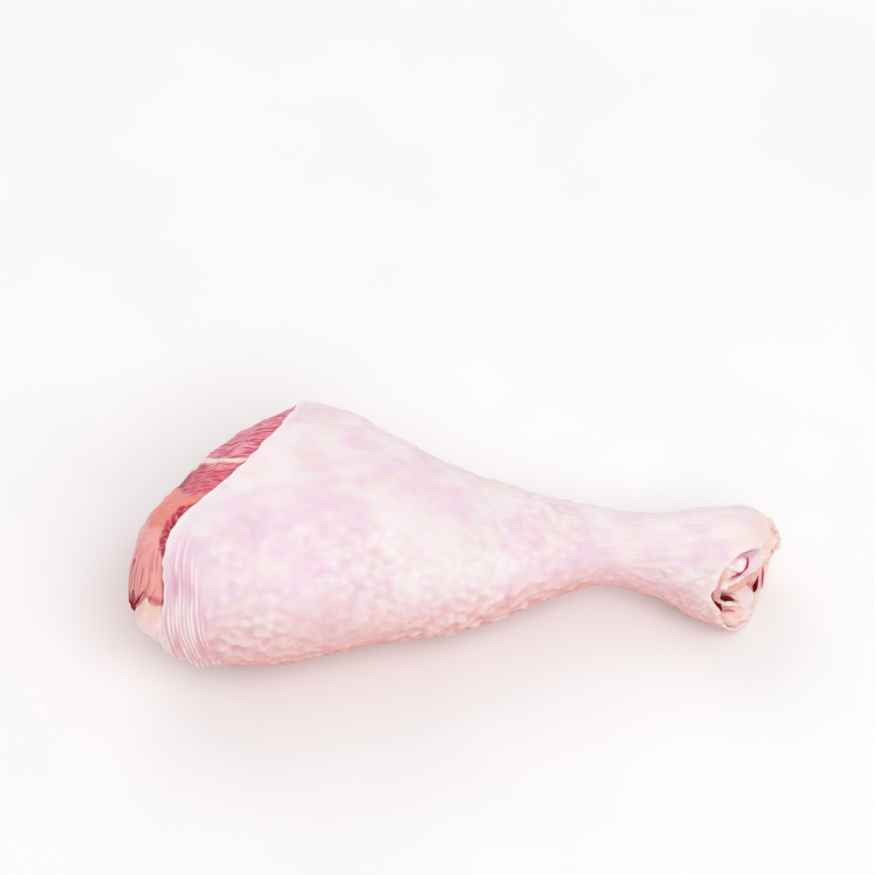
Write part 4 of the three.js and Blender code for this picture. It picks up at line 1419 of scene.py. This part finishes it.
# Painted sheen: pale rings round each condyle, from the distance to its middle.
rings = f.maths("SINE", f.times(f.mask("sheen_ring"), 2.4))
f.colour = f.mix(f.range(f.mask("pinkness"), 0.2, 0.9), tone(240, 222, 228), tone(236, 190, 206))
f.lay(tone(246, 214, 208), f.range(rings, -1, 1, 0.0, 0.3))
f.lay(tone(236, 172, 160), f.mask("furrow"), 0.7)
f.lay(tone(214, 130, 132), f.range(f.mask("cartilage"), 0.0, 0.6, 1.0, 0.0))
f.bump(f.noise(1.4, 3), 0.1, 0.4)
f.cover(leg_bone, roughness=0.26, soft=0.4, soft_depth=2.5, wet=0.6, wet_roughness=0.07)

# %% Fat material
f = Finish("raw_fat")
f.colour = f.mix(f.range(f.cells(2.6), 0.1, 0.6), tone(250, 230, 219), tone(246, 216, 211))
f.lay(tone(243, 220, 226), f.spots(4, 2, 0.45, 0.75, 0.0, 0.6))
f.lay(tone(240, 186, 164), f.range(f.mask("edge"), 0.6, 1.0, 0.0, 0.55))
f.bump(f.cells(2.2), 0.15, 0.5)
f.bump(f.noise(0.7, 2), 0.06, 0.5)
f.cover(knee_fat, torn_rim, roughness=0.36, soft=0.45, soft_depth=2.5, wet=0.35, wet_roughness=0.14)

# %% Tendon material
f = Finish("tendon")
f.colour = f.mix(f.spots(0.8, 2, 0.35, 0.65, stretch=(0.15, 1, 1)), tone(246, 232, 236), tone(253, 249, 245))
f.lay(tone(240, 200, 200), f.mask("cut"), 0.35)
f.bump(f.noise(0.7, 2, stretch=(0.15, 1, 1)), 0.08, 0.5)
f.cover(*tendons, band, roughness=0.25, soft=0.3, soft_depth=1.5, wet=0.6, wet_roughness=0.08)
print("materials:", [material.name for material in bpy.data.materials])

# %% [markdown]
# ## Table, light and camera
#
# The drumstick lies on a plain pale table. Most of the light is soft and comes from all round, as in a bright
# studio; one large lamp above the knee side gives the shape its shading. The camera looks down at 55 degrees
# across the calf side, with a long lens, so that the leg keeps its proportions.

# %% Table
TABLE_HALF = 3
corners = [(x * TABLE_HALF, y * TABLE_HALF, 0) for x, y in ((-1, -1), (1, -1), (1, 1), (-1, 1))]
table_mesh = bpy.data.meshes.new("table")
table_mesh.from_pydata(corners, [], [(0, 1, 2, 3)])
table_top = add_object("table", table_mesh)
f = Finish("pale_table")
f.colour = f.mix(f.spots(60, 2, 0.3, 0.7), (0.93, 0.93, 0.93, 1), (0.95, 0.95, 0.95, 1))
f.cover(table_top, roughness=0.8, shine=0.1)


# %% Light
def soft_lamp(name, place, size, power, colour=(1, 1, 1)):
    """A square lamp that looks at the middle of the drumstick."""
    light = bpy.data.lights.new(name, "AREA")
    light.shape = "SQUARE"
    light.size = size
    light.energy = power
    light.color = colour
    lamp = add_object(name, light)
    lamp.location = place
    lamp.rotation_euler = (Vector((0, 0, 0.03)) - Vector(place)).to_track_quat("-Z", "Y").to_euler()


soft_lamp("key", (0.4, -0.7, 1.25), 1.1, 8.5)
soft_lamp("back", (-0.4, 1.0, 1.0), 1.2, 4, (1, 0.98, 0.98))
world = bpy.data.worlds.new("studio")
world.use_nodes = True
background = world.node_tree.nodes["Background"].inputs
background["Color"].default_value = (1, 0.99, 0.99, 1)
background["Strength"].default_value = 0.66
bpy.context.scene.world = world

# %% Camera
LENS, SENSOR, DISTANCE, ELEVATION = 149.5, 36, 1.3, math.radians(55)
AIM_PAST_MIDDLE = Vector((-0.00675, 0.06171, 0))
middle = (Vector(cad_low) + Vector(cad_high)) / 2
towards_camera = Vector((0, -math.cos(ELEVATION), math.sin(ELEVATION)))
camera_data = bpy.data.cameras.new("camera")
camera_data.lens = LENS
camera_data.sensor_width = SENSOR
camera = add_object("camera", camera_data)
camera.location = Vector((middle.x, middle.y, 0)) + AIM_PAST_MIDDLE + towards_camera * DISTANCE
camera.rotation_euler = (-towards_camera).to_track_quat("-Z", "Y").to_euler()
scene = bpy.context.scene
scene.camera = camera
scene.view_settings.view_transform = "Standard"
scene.view_settings.look = "None"
print("camera at, m:", [round(v, 3) for v in camera.location])
